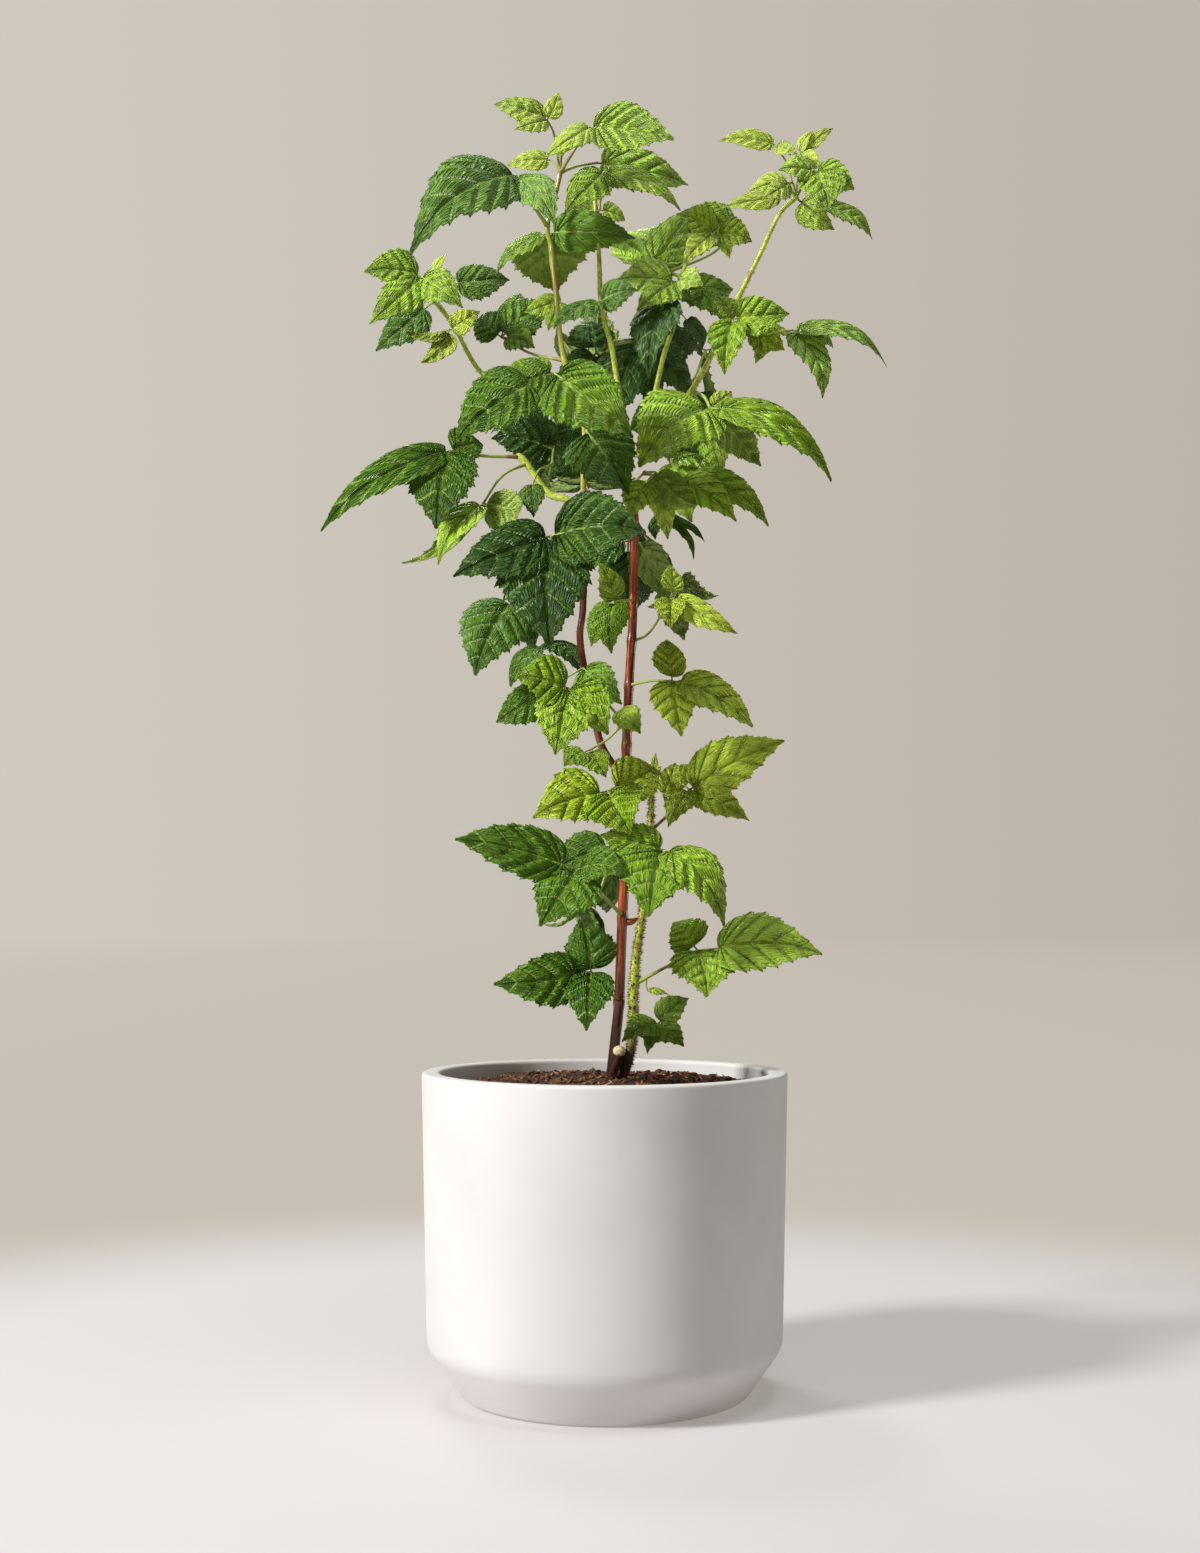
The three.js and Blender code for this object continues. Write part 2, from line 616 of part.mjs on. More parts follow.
// The stalks and leaflets of a list of sprays that start at one point of a cane.
function spraySolids(onCane, sprays) {
  const pieces = [];
  for (const [bend, meeting, leaflets, fork] of sprays) {
    const node = point(meeting);
    const stalk = smoothCurve([fork ? point(fork) : onCane, point(bend), node]);
    pieces.push(bar(stalk, [STALK_RADIUS, LEAFLET_STALK_RADIUS], STALK_SIDES, 3));
    const base = node.clone().addScaledVector(stalk.getTangent(1), -LEAFLET_SINK);
    for (const [x, y, z, width, turn, ownStalk, arch = BLADE_ARCH] of leaflets) {
      const tip = node.clone().add(point([x, y, z]));
      const neck = ownStalk < LONG_STALK ? 0 : ownStalk / tip.distanceTo(node);
      pieces.push(blade(base, tip, width, turn, neck, arch));
    }
  }
  return pieces;
}

function caneSolid(name, grow = 0) {
  const { path, radius, bud, tip } = CANES[name];
  const pieces = [bar(caneCurves[name], radius, CANE_SIDES, path.length + 1, grow)];
  if (bud) {
    pieces.push(bar(smoothCurve(bud.map(point)), BUD_RADIUS, STALK_SIDES, 2, grow));
  }
  if (tip) {
    pieces.push(...spraySolids(point(path.at(-1)), tip));
  }
  return joined(pieces);
}

const leafSolid = ([cane, height, , sprays]) => joined(spraySolids(canePointAtHeight(cane, height), sprays));

function potSolid() {
  const inner = POT_RIM_RADIUS - POT_WALL;
  const outline = new THREE.Path();
  outline.moveTo(0, 0);
  outline.lineTo(POT_FOOT_RADIUS - FOOT_ROUND, 0);
  outline.quadraticCurveTo(POT_FOOT_RADIUS, 0, POT_FOOT_RADIUS + FOOT_FLARE, FOOT_ROUND);
  outline.lineTo(POT_CREASE_RADIUS - CREASE_ROUND / 2, POT_CREASE_HEIGHT - CREASE_ROUND);
  const aboveCrease = POT_CREASE_HEIGHT + CREASE_ROUND;
  outline.quadraticCurveTo(POT_CREASE_RADIUS, POT_CREASE_HEIGHT, POT_CREASE_RADIUS, aboveCrease);
  outline.lineTo(POT_RIM_RADIUS, POT_HEIGHT - RIM_ROUND);
  outline.quadraticCurveTo(POT_RIM_RADIUS, POT_HEIGHT, POT_RIM_RADIUS - RIM_ROUND, POT_HEIGHT);
  outline.lineTo(inner + RIM_ROUND, POT_HEIGHT);
  outline.quadraticCurveTo(inner, POT_HEIGHT, inner, POT_HEIGHT - RIM_ROUND);
  outline.lineTo(POT_CREASE_RADIUS - POT_WALL, aboveCrease);
  outline.lineTo(POT_FOOT_RADIUS - FLOOR_INSET, POT_FLOOR);
  outline.lineTo(0, POT_FLOOR);
  return solidFromGeometry(new THREE.LatheGeometry(outline.getPoints(2), POT_SIDES).rotateX(Math.PI / 2));
}

// The compost fills the pot, a gap away from its wall and floor, and is a little lower at its edge.
function soilSolid() {
  const wallAt = (height) => {
    const share = (height - POT_CREASE_HEIGHT) / (POT_HEIGHT - POT_CREASE_HEIGHT);
    return THREE.MathUtils.lerp(POT_CREASE_RADIUS, POT_RIM_RADIUS, share) - POT_WALL - 3 * GAP;
  };
  const profile = [
    [0, POT_FLOOR + GAP],
    [POT_FOOT_RADIUS - FLOOR_INSET - 2 * GAP, POT_FLOOR + GAP],
    [wallAt(POT_CREASE_HEIGHT + CREASE_ROUND) - GAP, POT_CREASE_HEIGHT + CREASE_ROUND],
    ...SOIL_RINGS.map((share) => [
      wallAt(SOIL_EDGE_HEIGHT) * share,
      SOIL_EDGE_HEIGHT + SOIL_MOUND * (1 - share ** SOIL_FLATNESS),
    ]),
  ];
  const rings = profile.map(([radius, height]) => new THREE.Vector2(radius, height));
  return solidFromGeometry(new THREE.LatheGeometry(rings, POT_SIDES).rotateX(Math.PI / 2));
}

// The crown is a squashed knob with roots that reach out and down through the compost.
function crownSolid(grow = 0) {
  const knob = new THREE.IcosahedronGeometry(CROWN_RADIUS + grow, 1);
  knob.scale(1, 1, CROWN_SQUASH).translate(...CROWN_CENTRE);
  const pieces = [solidFromGeometry(knob)];
  for (let k = 0; k < ROOT_COUNT; k += 1) {
    const angle = (2 * Math.PI * k) / ROOT_COUNT;
    const along = (share, drop) =>
      point(CROWN_CENTRE).add(
        new THREE.Vector3(Math.cos(angle) * ROOT_REACH * share, Math.sin(angle) * ROOT_REACH * share, -drop),
      );
    const root = smoothCurve([along(0, 0), along(0.5, ROOT_DROP * ROOT_MIDWAY_DROP), along(1, ROOT_DROP)]);
    pieces.push(bar(root, [ROOT_RADIUS, ROOT_RADIUS * ROOT_TAPER], ROOT_SIDES, 3, grow));
  }
  return joined(pieces);
}

// ---------- Assembly ----------
const plant = new THREE.Group();
const put = (name, solid, material) => plant.add(meshFrom(name, solid, material));

// Side canes and stems are cut clear of the cane they grow from, and leaves clear of every cane.
const GROWS_FROM = {
  cane_left: ["cane_main"],
  stem_middle: ["cane_main"],
  stem_right: ["cane_main", "stem_middle"],
  stem_far_right: ["cane_main", "stem_right"],
  stem_upper_left: ["cane_left"],
  stem_mid_left: ["cane_left"],
  cane_young: ["cane_main"],
  cane_cut_stub: ["cane_main", "cane_young"],
};
const fatCane = (name) => caneSolid(name, GAP);
const allFatCanes = joined(Object.keys(CANES).map(fatCane));
const fatCrown = crownSolid(GAP);

put("pot", potSolid(), CLAY);
put("soil", soilSolid().subtract(fatCrown).subtract(allFatCanes), BARK_SOIL);
put("root_crown", crownSolid(), ROOT);
for (const name of Object.keys(CANES)) {
  const neighbours = (GROWS_FROM[name] ?? []).map(fatCane);
  const solid = [fatCrown, ...neighbours].reduce((cut, other) => cut.subtract(other), caneSolid(name));
  put(name, solid, CANES[name].paint);
}
for (const [name, leaf] of Object.entries(LEAVES)) {
  put(name, leafSolid(leaf).subtract(allFatCanes), LEAF_PAINT[leaf[2]]);
}

export default plant;
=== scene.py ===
import math
import random

import bpy
import numpy as np
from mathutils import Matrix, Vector


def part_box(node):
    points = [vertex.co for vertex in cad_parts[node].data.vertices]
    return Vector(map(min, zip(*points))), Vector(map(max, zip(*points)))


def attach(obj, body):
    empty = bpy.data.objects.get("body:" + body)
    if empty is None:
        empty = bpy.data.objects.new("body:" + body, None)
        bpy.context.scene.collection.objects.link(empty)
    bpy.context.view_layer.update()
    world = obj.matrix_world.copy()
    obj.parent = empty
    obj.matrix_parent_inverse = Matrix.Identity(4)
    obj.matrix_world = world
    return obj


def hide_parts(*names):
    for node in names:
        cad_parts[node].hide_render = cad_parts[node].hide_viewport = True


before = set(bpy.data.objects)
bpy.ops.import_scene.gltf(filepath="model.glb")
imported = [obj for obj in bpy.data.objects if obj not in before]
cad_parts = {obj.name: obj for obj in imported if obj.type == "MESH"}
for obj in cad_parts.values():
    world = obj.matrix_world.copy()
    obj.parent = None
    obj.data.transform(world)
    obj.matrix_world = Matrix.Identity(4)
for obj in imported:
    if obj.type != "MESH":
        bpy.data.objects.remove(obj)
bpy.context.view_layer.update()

# A potted raspberry plant. X runs to the right, Y to the back and Z up, from the middle of the pot's
# underside, in metres. The tables of canes and leaves are in millimetres.

# ----- Sizes -----
MM = 0.001
RIM_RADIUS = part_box("pot")[1].x
POT_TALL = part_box("pot")[1].z
WALL = 13 * MM
CREASE_RADIUS = 122.5 * MM
CREASE_TALL = 33.5 * MM
FOOT_RADIUS = 98.5 * MM
FLOOR_TALL = 18 * MM
SOIL_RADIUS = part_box("soil")[1].x
SOIL_EDGE = 207 * MM
SOIL_DEEP = 25 * MM
SOIL_RISE = 8 * MM
SOIL_SINK = 1.2 * MM
SOIL_TAPER = 0.985

STALK_RADIUS = 1.15 * MM
LEAFLET_STALK_RADIUS = 0.65 * MM
SHORTEST_NECK = 1.2 * MM
LARGE_WIDTH = 40 * MM
BLADE_THICKNESS = 0.22 * MM
VEIN_THICKNESS = 0.35 * MM
KNUCKLE = 0.16
KNUCKLE_REACH = 3.5 * MM
LOW_DOME, HIGH_DOME = 0.3, 0.7
POT_SIDES = 192
CANE_STEPS, CANE_SIDES = 240, 18
STALK_STEPS, STALK_SIDES = 14, 9
NECK_STEPS, NECK_SIDES = 4, 7
SOIL_SEED, TIP_SEED, FIRST_LEAF_SEED = 4, 7, 100
FACING = np.array((0.0, -0.8, 0.6))

# ----- Small helpers -----


def metres(points):
    return np.array(points, float) * MM


def unit(vector):
    return vector / np.linalg.norm(vector)


def limited(value):
    return np.clip(value, 0, 1)


def hump(share):
    """0 at both ends and 1 in the middle."""
    return 4 * share * (1 - share)


def lengths_along(path):
    """How far along a path each of its points lies."""
    steps = np.linalg.norm(np.diff(path, axis=0), axis=1)
    return np.concatenate([[0], np.cumsum(steps)])


def smooth_path(points, count):
    """count + 1 evenly spaced points on the rounded curve through the given points."""
    p = np.array(points, float)
    p = np.vstack([2 * p[0] - p[1], p, 2 * p[-1] - p[-2]])
    steps_between = 24
    t = np.linspace(0, 1, steps_between, endpoint=False)[:, None]
    runs = []
    for a, b, c, d in zip(p[:-3], p[1:-2], p[2:-1], p[3:]):
        cubic = 2 * b + (c - a) * t + (2 * a - 5 * b + 4 * c - d) * t**2
        runs.append((cubic + (3 * b - a - 3 * c + d) * t**3) / 2)
    dense = np.vstack([*runs, p[-2:-1]])
    along = lengths_along(dense)
    wanted = np.linspace(0, along[-1], count + 1)
    return np.stack([np.interp(wanted, along, dense[:, k]) for k in range(3)], axis=1)


def turns(sides):
    """The cosines and the sines of evenly spaced angles."""
    angles = np.linspace(0, 2 * math.pi, sides, endpoint=False)
    return np.cos(angles), np.sin(angles)


def tube_faces(rings, sides):
    """Quads from ring to ring, then two fans, to a low and a high pole that are numbered last."""
    around = [(k, (k + 1) % sides) for k in range(sides)]
    faces = []
    for first in range(0, (rings - 1) * sides, sides):
        faces += [(first + a, first + b, first + b + sides, first + a + sides) for a, b in around]
    last, low, high = (rings - 1) * sides, rings * sides, rings * sides + 1
    for a, b in around:
        faces += [(low, b, a), (high, last + a, last + b)]
    return faces


def add_object(name, data):
    made = bpy.data.objects.new(name, data)
    bpy.context.scene.collection.objects.link(made)
    return made


class Shape:
    """Points, faces, marks for each point and a material number for each face, gathered piece by piece."""

    def __init__(self):
        self.points, self.faces, self.paints = [], [], []
        self.marks = {}
        self.count = 0

    def fill(self, rows):
        """Points that were given no mark of a kind so far get zeros."""
        rows.append(np.zeros((self.count - sum(map(len, rows)), 3)))

    def add(self, points, faces, paint=0, **marks):
        self.points.append(np.asarray(points, float))
        self.faces += [[i + self.count for i in face] for face in faces]
        self.paints += [paint] * len(faces)
        for name, values in marks.items():
            rows = self.marks.setdefault(name, [])
            self.fill(rows)
            rows.append(values)
        self.count += len(points)

    def build(self, name, *materials):
        mesh = bpy.data.meshes.new(name)
        mesh.from_pydata(np.vstack(self.points).tolist(), [], self.faces)
        for mark, rows in self.marks.items():
            self.fill(rows)
            layer = mesh.attributes.new(mark, "FLOAT_VECTOR", "POINT")
            layer.data.foreach_set("vector", np.vstack(rows).astype(np.float32).ravel())
        for material in materials:
            mesh.materials.append(material)
        mesh.polygons.foreach_set("material_index", self.paints)
        mesh.polygons.foreach_set("use_smooth", [True] * len(mesh.polygons))
        mesh.update()
        return add_object(name, mesh)


def settle(piece, slot, *nodes):
    """The piece rides with the plant and stands for its CAD nodes, which it hides; its slot is not used."""
    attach(piece, "root")
    if nodes:
        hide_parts(*nodes)


def add_bar(shape, path, radii, sides, paint=0):
    """A closed round bar with domed ends. The 'grain' mark holds the place round it and along it."""
    path = np.asarray(path)
    along = lengths_along(path)
    ways = np.gradient(path, axis=0)
    ways /= np.linalg.norm(ways, axis=1)[:, None]
    slanted = (0.31, 0.95, 0.11)
    side = unit(np.cross(ways[0], slanted))
    circle = np.stack(turns(sides), axis=1)
    rings, grain = [], []
    for centre, way, radius, run in zip(path, ways, radii, along):
        side = unit(side - way * side.dot(way))
        other = np.cross(way, side)
        rings.append(centre + radius * (circle[:, :1] * side + circle[:, 1:] * other))
        grain.append(np.column_stack([circle * radius, np.full(sides, run)]))
    poles = [path[0] - ways[0] * radii[0] * LOW_DOME, path[-1] + ways[-1] * radii[-1] * HIGH_DOME]
    grain.append([(0, 0, 0), (0, 0, along[-1])])
    shape.add(np.vstack([*rings, poles]), tube_faces(len(path), sides), paint, grain=np.vstack(grain))


def turned(name, profile, sides, material):
    """A closed form turned round Z from a profile that starts and ends on the axis."""
    cosines, sines = turns(sides)
    rings = [np.column_stack([r * cosines, r * sines, np.full(sides, z)]) for r, z in profile[1:-1]]
    shape = Shape()
    poles = [(0, 0, profile[0][1]), (0, 0, profile[-1][1])]
    shape.add(np.vstack([*rings, poles]), tube_faces(len(rings), sides))
    return shape.build(name, material)


# ----- Materials -----


def colour(rgb):
    """A colour given as it looks, 0 to 255, as the linear numbers that a shader takes."""
    return tuple(((c / 255 + 0.055) / 1.055) ** 2.4 if c > 10 else c / 3295 for c in rgb) + (1,)


class Nodes:
    """Short ways to add and join the nodes of a tree."""

    prefix = ""

    def feed(self, socket, value):
        if isinstance(value, bpy.types.NodeSocket):
            self.tree.links.new(value, socket)
        else:
            socket.default_value = value

    def node(self, kind, *values, **named):
        """A new node. Values feed its first sockets; a capital names a socket, small letters a setting."""
        made = self.tree.nodes.new(self.prefix + kind)
        for name, value in named.items():
            if name.islower():
                setattr(made, name, value)
        for socket, value in zip(made.inputs, values):
            self.feed(socket, value)
        for name, value in named.items():
            if not name.islower():
                self.feed(made.inputs[name.replace("_", " ")], value)
        return made


class Finish(Nodes):
    """A material with its main shader. Colours are given as they look, 0 to 255."""

    prefix = "ShaderNode"

    def __init__(self, name, roughness=0.5):
        self.material = bpy.data.materials.new(name)
        self.material.use_nodes = True
        self.tree = self.material.node_tree
        self.shader = self.tree.nodes["Principled BSDF"]
        self.surface = self.tree.nodes["Material Output"].inputs["Surface"]
        self.shader.inputs["Roughness"].default_value = roughness

    def maths(self, operation, a, b=0.0):
        return self.node("Math", a, b, operation=operation).outputs[0]

    def add(self, a, b):
        return self.maths("ADD", a, b)

    def less(self, a, b):
        return self.maths("SUBTRACT", a, b)

    def times(self, a, b):
        return self.maths("MULTIPLY", a, b)

    def mix(self, share, a, b):
        made = self.node("Mix", share, data_type="RGBA")
        for number, value in ((6, a), (7, b)):
            self.feed(made.inputs[number], colour(value) if isinstance(value, tuple) else value)
        return made.outputs[2]

    def ramp(self, value, low, high, start=0.0, end=1.0):
        """A smooth change from start to end while the value goes from low to high."""
        made = self.node("MapRange", value, low, high, start, end, interpolation_type="SMOOTHSTEP")
        return made.outputs[0]

    def noise(self, scale, detail, roughness=0.55, where=None):
        where = self.place() if where is None else where
        made = self.node("TexNoise", where, Scale=scale, Detail=detail, Roughness=roughness)
        return made.outputs["Fac"]

    def mark(self, name):
        return self.node("Attribute", attribute_name=name).outputs["Vector"]

    def grain(self, around, along, detail, roughness=0.55):
        """Noise drawn out along a bar, by its scale round the bar and along it."""
        place = self.node("Mapping", self.mark("grain"), Scale=(around, around, along))
        return self.noise(1.0, detail, roughness, place.outputs[0])

    def parts(self, vector):
        return self.node("SeparateXYZ", vector).outputs[:3]

    def place(self):
        return self.node("TexCoord").outputs["Object"]

    def height(self):
        return self.parts(self.place())[2]

    def bump(self, height, strength, distance, **under):
        return self.node("Bump", Strength=strength, Distance=distance, Height=height, **under).outputs[0]

    def paint(self, **sockets):
        for name, value in sockets.items():
            self.feed(self.shader.inputs[name.replace("_", " ")], value)

    def blend(self, share, closure):
        """The surface is the main shader, with a share of another."""
        both = self.node("MixShader", share, self.shader.outputs[0], closure.outputs[0])
        self.feed(self.surface, both.outputs[0])


def leaf_finish(name, limy, deep, bright, vein, under_deep, under_bright, glow):
    """A leaf blade: two greens, limier when small, paler sunken veins, painted shade in the grooves and
    along the net of cells, quilted, with a pale underside.
    """
    f = Finish(name, 0.5)
    phase, out, seed = f.parts(f.mark("veins"))
    tone, under, size = f.parts(f.mark("look"))
    # Veins: how near the closest side vein is, how near the midrib is, and the net of cells between.
    wobble = f.times(f.less(f.noise(220, 2), 0.5), 0.16)
    near = f.maths("FRACT", f.add(f.add(phase, wobble), 0.5))
    near = f.maths("ABSOLUTE", f.less(near, 0.5))
    side_vein = f.times(f.ramp(near, 0.03, 0.09, 1, 0), f.ramp(out, 0.75, 1.0, 1, 0.25))
    veins = f.maths("MAXIMUM", side_vein, f.ramp(out, 0.02, 0.065, 1, 0))
    rows = f.times(out, f.add(3.0, f.times(size, 8.0)))
    patch = f.node("CombineXYZ", f.times(phase, 1.3), rows, seed).outputs[0]
    cells = f.node("TexVoronoi", patch, feature="DISTANCE_TO_EDGE", Scale=1.0, Randomness=0.5)
    to_edge = cells.outputs["Distance"]
    net = f.ramp(to_edge, 0.0, 0.16, 1, 0)
    # Upper side.
    cloud = f.noise(55, 4)
    shade = f.add(f.times(tone, 0.6), f.times(cloud, 0.56))
    green = f.mix(f.ramp(shade, 0.3, 0.92), deep, bright)
    small = f.ramp(size, 0.32, 0.66, limy, 0)
    green = f.mix(small, green, f.mix(f.ramp(shade, 0.25, 1.0), (176, 204, 30), (226, 240, 96)))
    # By tone, partly the leaf's own darker or paler green and partly painted shade and light: low tones
    # darken towards a near-black green, high tones wash towards a pale lime.
    green = f.mix(f.ramp(tone, 0.0, 0.45, 0.5, 0), green, (34, 66, 8))
    green = f.mix(f.ramp(tone, 0.7, 1.0, 0, 0.36), green, (206, 238, 104))
    # Painted shade: the green darkens towards the deep green in narrow grooves beside the side veins, as if
    # shade fell in them.
    painted_groove_shade = f.times(f.ramp(near, 0.03, 0.17, 1, 0), f.ramp(out, 0.03, 0.12))
    painted_groove_shade = f.times(painted_groove_shade, f.less(0.58, f.times(small, 0.34)))
    green = f.mix(painted_groove_shade, green, f.mix(small, deep, (128, 168, 30)))
    # Painted shade: the green also darkens along the sunken net of cells between the veins.
    painted_net_shade = f.times(net, f.less(0.46, f.times(small, 0.36)))
    green = f.mix(f.times(painted_net_shade, f.ramp(tone, 0.6, 1.0, 1, 0.4)), green, deep)
    green = f.mix(f.times(veins, f.ramp(tone, 0.0, 0.8, 0.26, 0.56)), green, vein)
    # Underside.
    pale = f.mix(cloud, under_deep, under_bright)
    pale = f.mix(f.times(f.maths("MAXIMUM", veins, f.times(net, 0.4)), 0.6), pale, vein)
    skin = f.mix(under, green, pale)
    # Relief: cells stand up between sunken veins on the upper side, and the other way round below.
    sunk = f.less(1.0, f.times(veins, 0.8))
    height = f.add(f.times(f.ramp(to_edge, 0.0, 0.45), 0.9), f.times(sunk, 0.7))
    height = f.add(height, f.times(f.noise(900, 2), 0.12))
    depth = f.times(f.less(1.0, f.times(under, 1.7)), f.less(1.0, f.times(small, 0.72)))
    relief = f.bump(f.times(height, depth), 1.0, 0.0026)
    rough = f.add(f.ramp(cloud, 0.3, 0.7, 0.36, 0.48), f.times(under, 0.25))
    f.paint(Base_Color=skin, Roughness=rough, Normal=relief, Specular_IOR_Level=0.5)
    # Down shows on the leaves high on the plant.
    down = f.ramp(f.height(), 0.66, 0.84, 0.0, 0.16)
    f.paint(Sheen_Weight=down, Sheen_Roughness=0.5, Sheen_Tint=(0.82, 0.93, 1.0, 1))
    through = f.node("BsdfTranslucent", Color=f.mix(0.35, skin, glow), Normal=relief)
    f.blend(f.add(0.2, f.times(under, 0.2)), through)
    return f.material


def stalk_finish():
    """Green leaf stalks, reddish in streaks."""
    f = Finish("leaf_stalk", 0.45)
    streak = f.grain(900, 60, 3)
    green = f.mix(streak, (124, 150, 50), (178, 194, 88))
    blush = f.times(f.ramp(f.noise(40, 2), 0.48, 0.62), 0.75)
    f.paint(Base_Color=f.mix(blush, green, (112, 62, 40)), Normal=f.bump(streak, 0.4, 0.0003))
    return f.material


def bark_finish(name, green_from, darkness):
    """Glossy red-brown cane bark, dark and woody low down, turning green above green_from metres."""
    f = Finish(name, 0.3)
    streak = f.grain(520, 22, 5, 0.7)
    flake = f.grain(150, 30, 4, 0.6)
    red = f.mix(f.ramp(streak, 0.36, 0.64), (50, 20, 10), (192, 84, 36))
    red = f.mix(f.ramp(streak, 0.58, 0.72, 0, 0.8), red, (232, 150, 96))
    red = f.mix(f.ramp(flake, 0.48, 0.62, 0, 0.8), red, (66, 30, 20))
    red = f.mix(darkness, red, (50, 26, 18))
    woody = f.ramp(f.add(f.height(), f.times(flake, 0.05)), 0.268, 0.34, 1, 0)
    red = f.mix(f.times(woody, 0.88), red, (38, 22, 18))
    green = f.mix(f.ramp(streak, 0.3, 0.7), (142, 152, 50), (206, 202, 100))
    green = f.mix(f.ramp(flake, 0.5, 0.64, 0, 0.8), green, (170, 104, 62))
    change = f.ramp(f.add(f.height(), f.times(flake, 0.06)), green_from, green_from + 0.09)
    f.paint(Base_Color=f.mix(change, red, green), Roughness=f.ramp(streak, 0.3, 0.7, 0.2, 0.34))
    f.paint(Normal=f.bump(flake, 0.25, 0.001, Normal=f.bump(streak, 0.3, 0.0008)))
    f.paint(Coat_Weight=0.8, Coat_Roughness=0.16)
    return f.material


def green_stem_finish(name, woody_to, speckle):
    """Soft green stems, streaked and speckled darker, woody and dark below woody_to metres."""
    f = Finish(name, 0.42)
    streak = f.grain(600, 30, 4)
    blotch = f.grain(140, 60, 3)
    green = f.mix(f.ramp(streak, 0.3, 0.7), (156, 184, 44), (220, 232, 100))
    green = f.mix(f.ramp(blotch, 0.54, 0.66, 0, 0.6), green, (150, 100, 52))
    place = f.node("Mapping", f.mark("grain"), Scale=(360, 360, 280)).outputs[0]
    spots = f.node("TexVoronoi", place, Scale=1.0).outputs["Distance"]
    green = f.mix(f.ramp(spots, 0.24, 0.4, speckle, 0), green, (54, 38, 18))
    wood = f.mix(streak, (46, 28, 18), (104, 70, 44))
    change = f.ramp(f.add(f.height(), f.times(blotch, 0.02)), woody_to, woody_to + 0.03)
    f.paint(Base_Color=f.mix(change, wood, green), Normal=f.bump(streak, 0.4, 0.0006))
    return f.material


def plain_finish(name, one, other, scale, roughness, bump=0.3, depth=0.0004):
    """A two-tone natural finish, for bristles, chips, roots and cut wood."""
    f = Finish(name, roughness)
    cloud = f.noise(scale, 4)
    f.paint(Base_Color=f.mix(f.ramp(cloud, 0.3, 0.7), one, other), Normal=f.bump(cloud, bump, depth))
    return f.material


def clay_finish():
    """Matt off-white clay with a faint tooth, tiny specks and soft clouding."""
    f = Finish("pot_clay", 0.62)
    tooth = f.noise(900, 3, 0.7)
    specks = f.node("TexVoronoi", f.place(), Scale=260.0).outputs["Distance"]
    specks = f.times(f.ramp(specks, 0.03, 0.075, 1, 0), f.ramp(f.noise(70, 2), 0.6, 0.7))
    white = f.mix(f.ramp(f.noise(9, 5), 0.3, 0.7), (213, 210, 208), (222, 219, 217))
    white = f.mix(f.times(specks, 0.35), white, (188, 178, 165))
    coarse = f.bump(f.noise(35, 4), 0.12, 0.001)
    f.paint(Base_Color=white, Roughness=f.ramp(tooth, 0.3, 0.7, 0.56, 0.7), Specular_IOR_Level=0.25)
    f.paint(Normal=f.bump(tooth, 0.22, 0.00025, Normal=coarse))
    return f.material


def soil_finish():
    """Dark, damp, crumbly compost."""
    f = Finish("compost", 0.92)
    crumbs = f.noise(260, 6, 0.7)
    brown = f.mix(f.ramp(crumbs, 0.35, 0.7), (24, 14, 9), (104, 70, 48))
    brown = f.mix(f.times(f.noise(30, 3), 0.5), brown, (30, 20, 15))
    f.paint(Base_Color=brown, Normal=f.bump(crumbs, 0.9, 0.003))
    return f.material


LEAF_FINISH = {
    # limier when small, deep and bright green, vein, deep and bright underside, light shining through
    age: leaf_finish("leaf_" + age, *look) for age, *look in (
        ("old", 0.1, (60, 106, 14), (154, 204, 60), (196, 222, 116),
         (158, 186, 92), (200, 220, 140), (196, 232, 30)),
        ("mid", 0.85, (92, 143, 10), (186, 228, 46), (222, 240, 116),
         (164, 196, 74), (208, 228, 126), (212, 242, 34)),
        ("young", 0.7, (142, 190, 10), (228, 250, 68), (238, 250, 130),
         (190, 216, 74), (226, 240, 124), (232, 250, 44)),
    )
}
STALK = stalk_finish()
BARK_MAIN = bark_finish("bark_old_cane", 9.0, 0.0)
BARK_LEFT = bark_finish("bark_left_cane", 0.6, 0.5)
STEM_GREEN = green_stem_finish("green_stem", 0.0, 0.35)
STEM_YOUNG = green_stem_finish("young_cane_skin", 0.238, 0.9)
BRISTLE = plain_finish("bristles", (98, 40, 26), (150, 84, 44), 300, 0.5)
CUT_WOOD = plain_finish("cut_wood", (206, 168, 112), (250, 236, 204), 420, 0.7, 0.8, 0.0012)
ROOT_SKIN = plain_finish("root_skin", (96, 68, 44), (140, 106, 74), 200, 0.85)
CLAY = clay_finish()
COMPOST = soil_finish()
CHIP_DARK = plain_finish("bark_chips", (24, 13, 8), (124, 76, 46), 140, 0.85, 0.7, 0.001)
CHIP_PALE = plain_finish("coir_fibres", (166, 98, 52), (226, 176, 120), 160, 0.8)

# ----- Geometry Nodes for bristles and compost bits -----


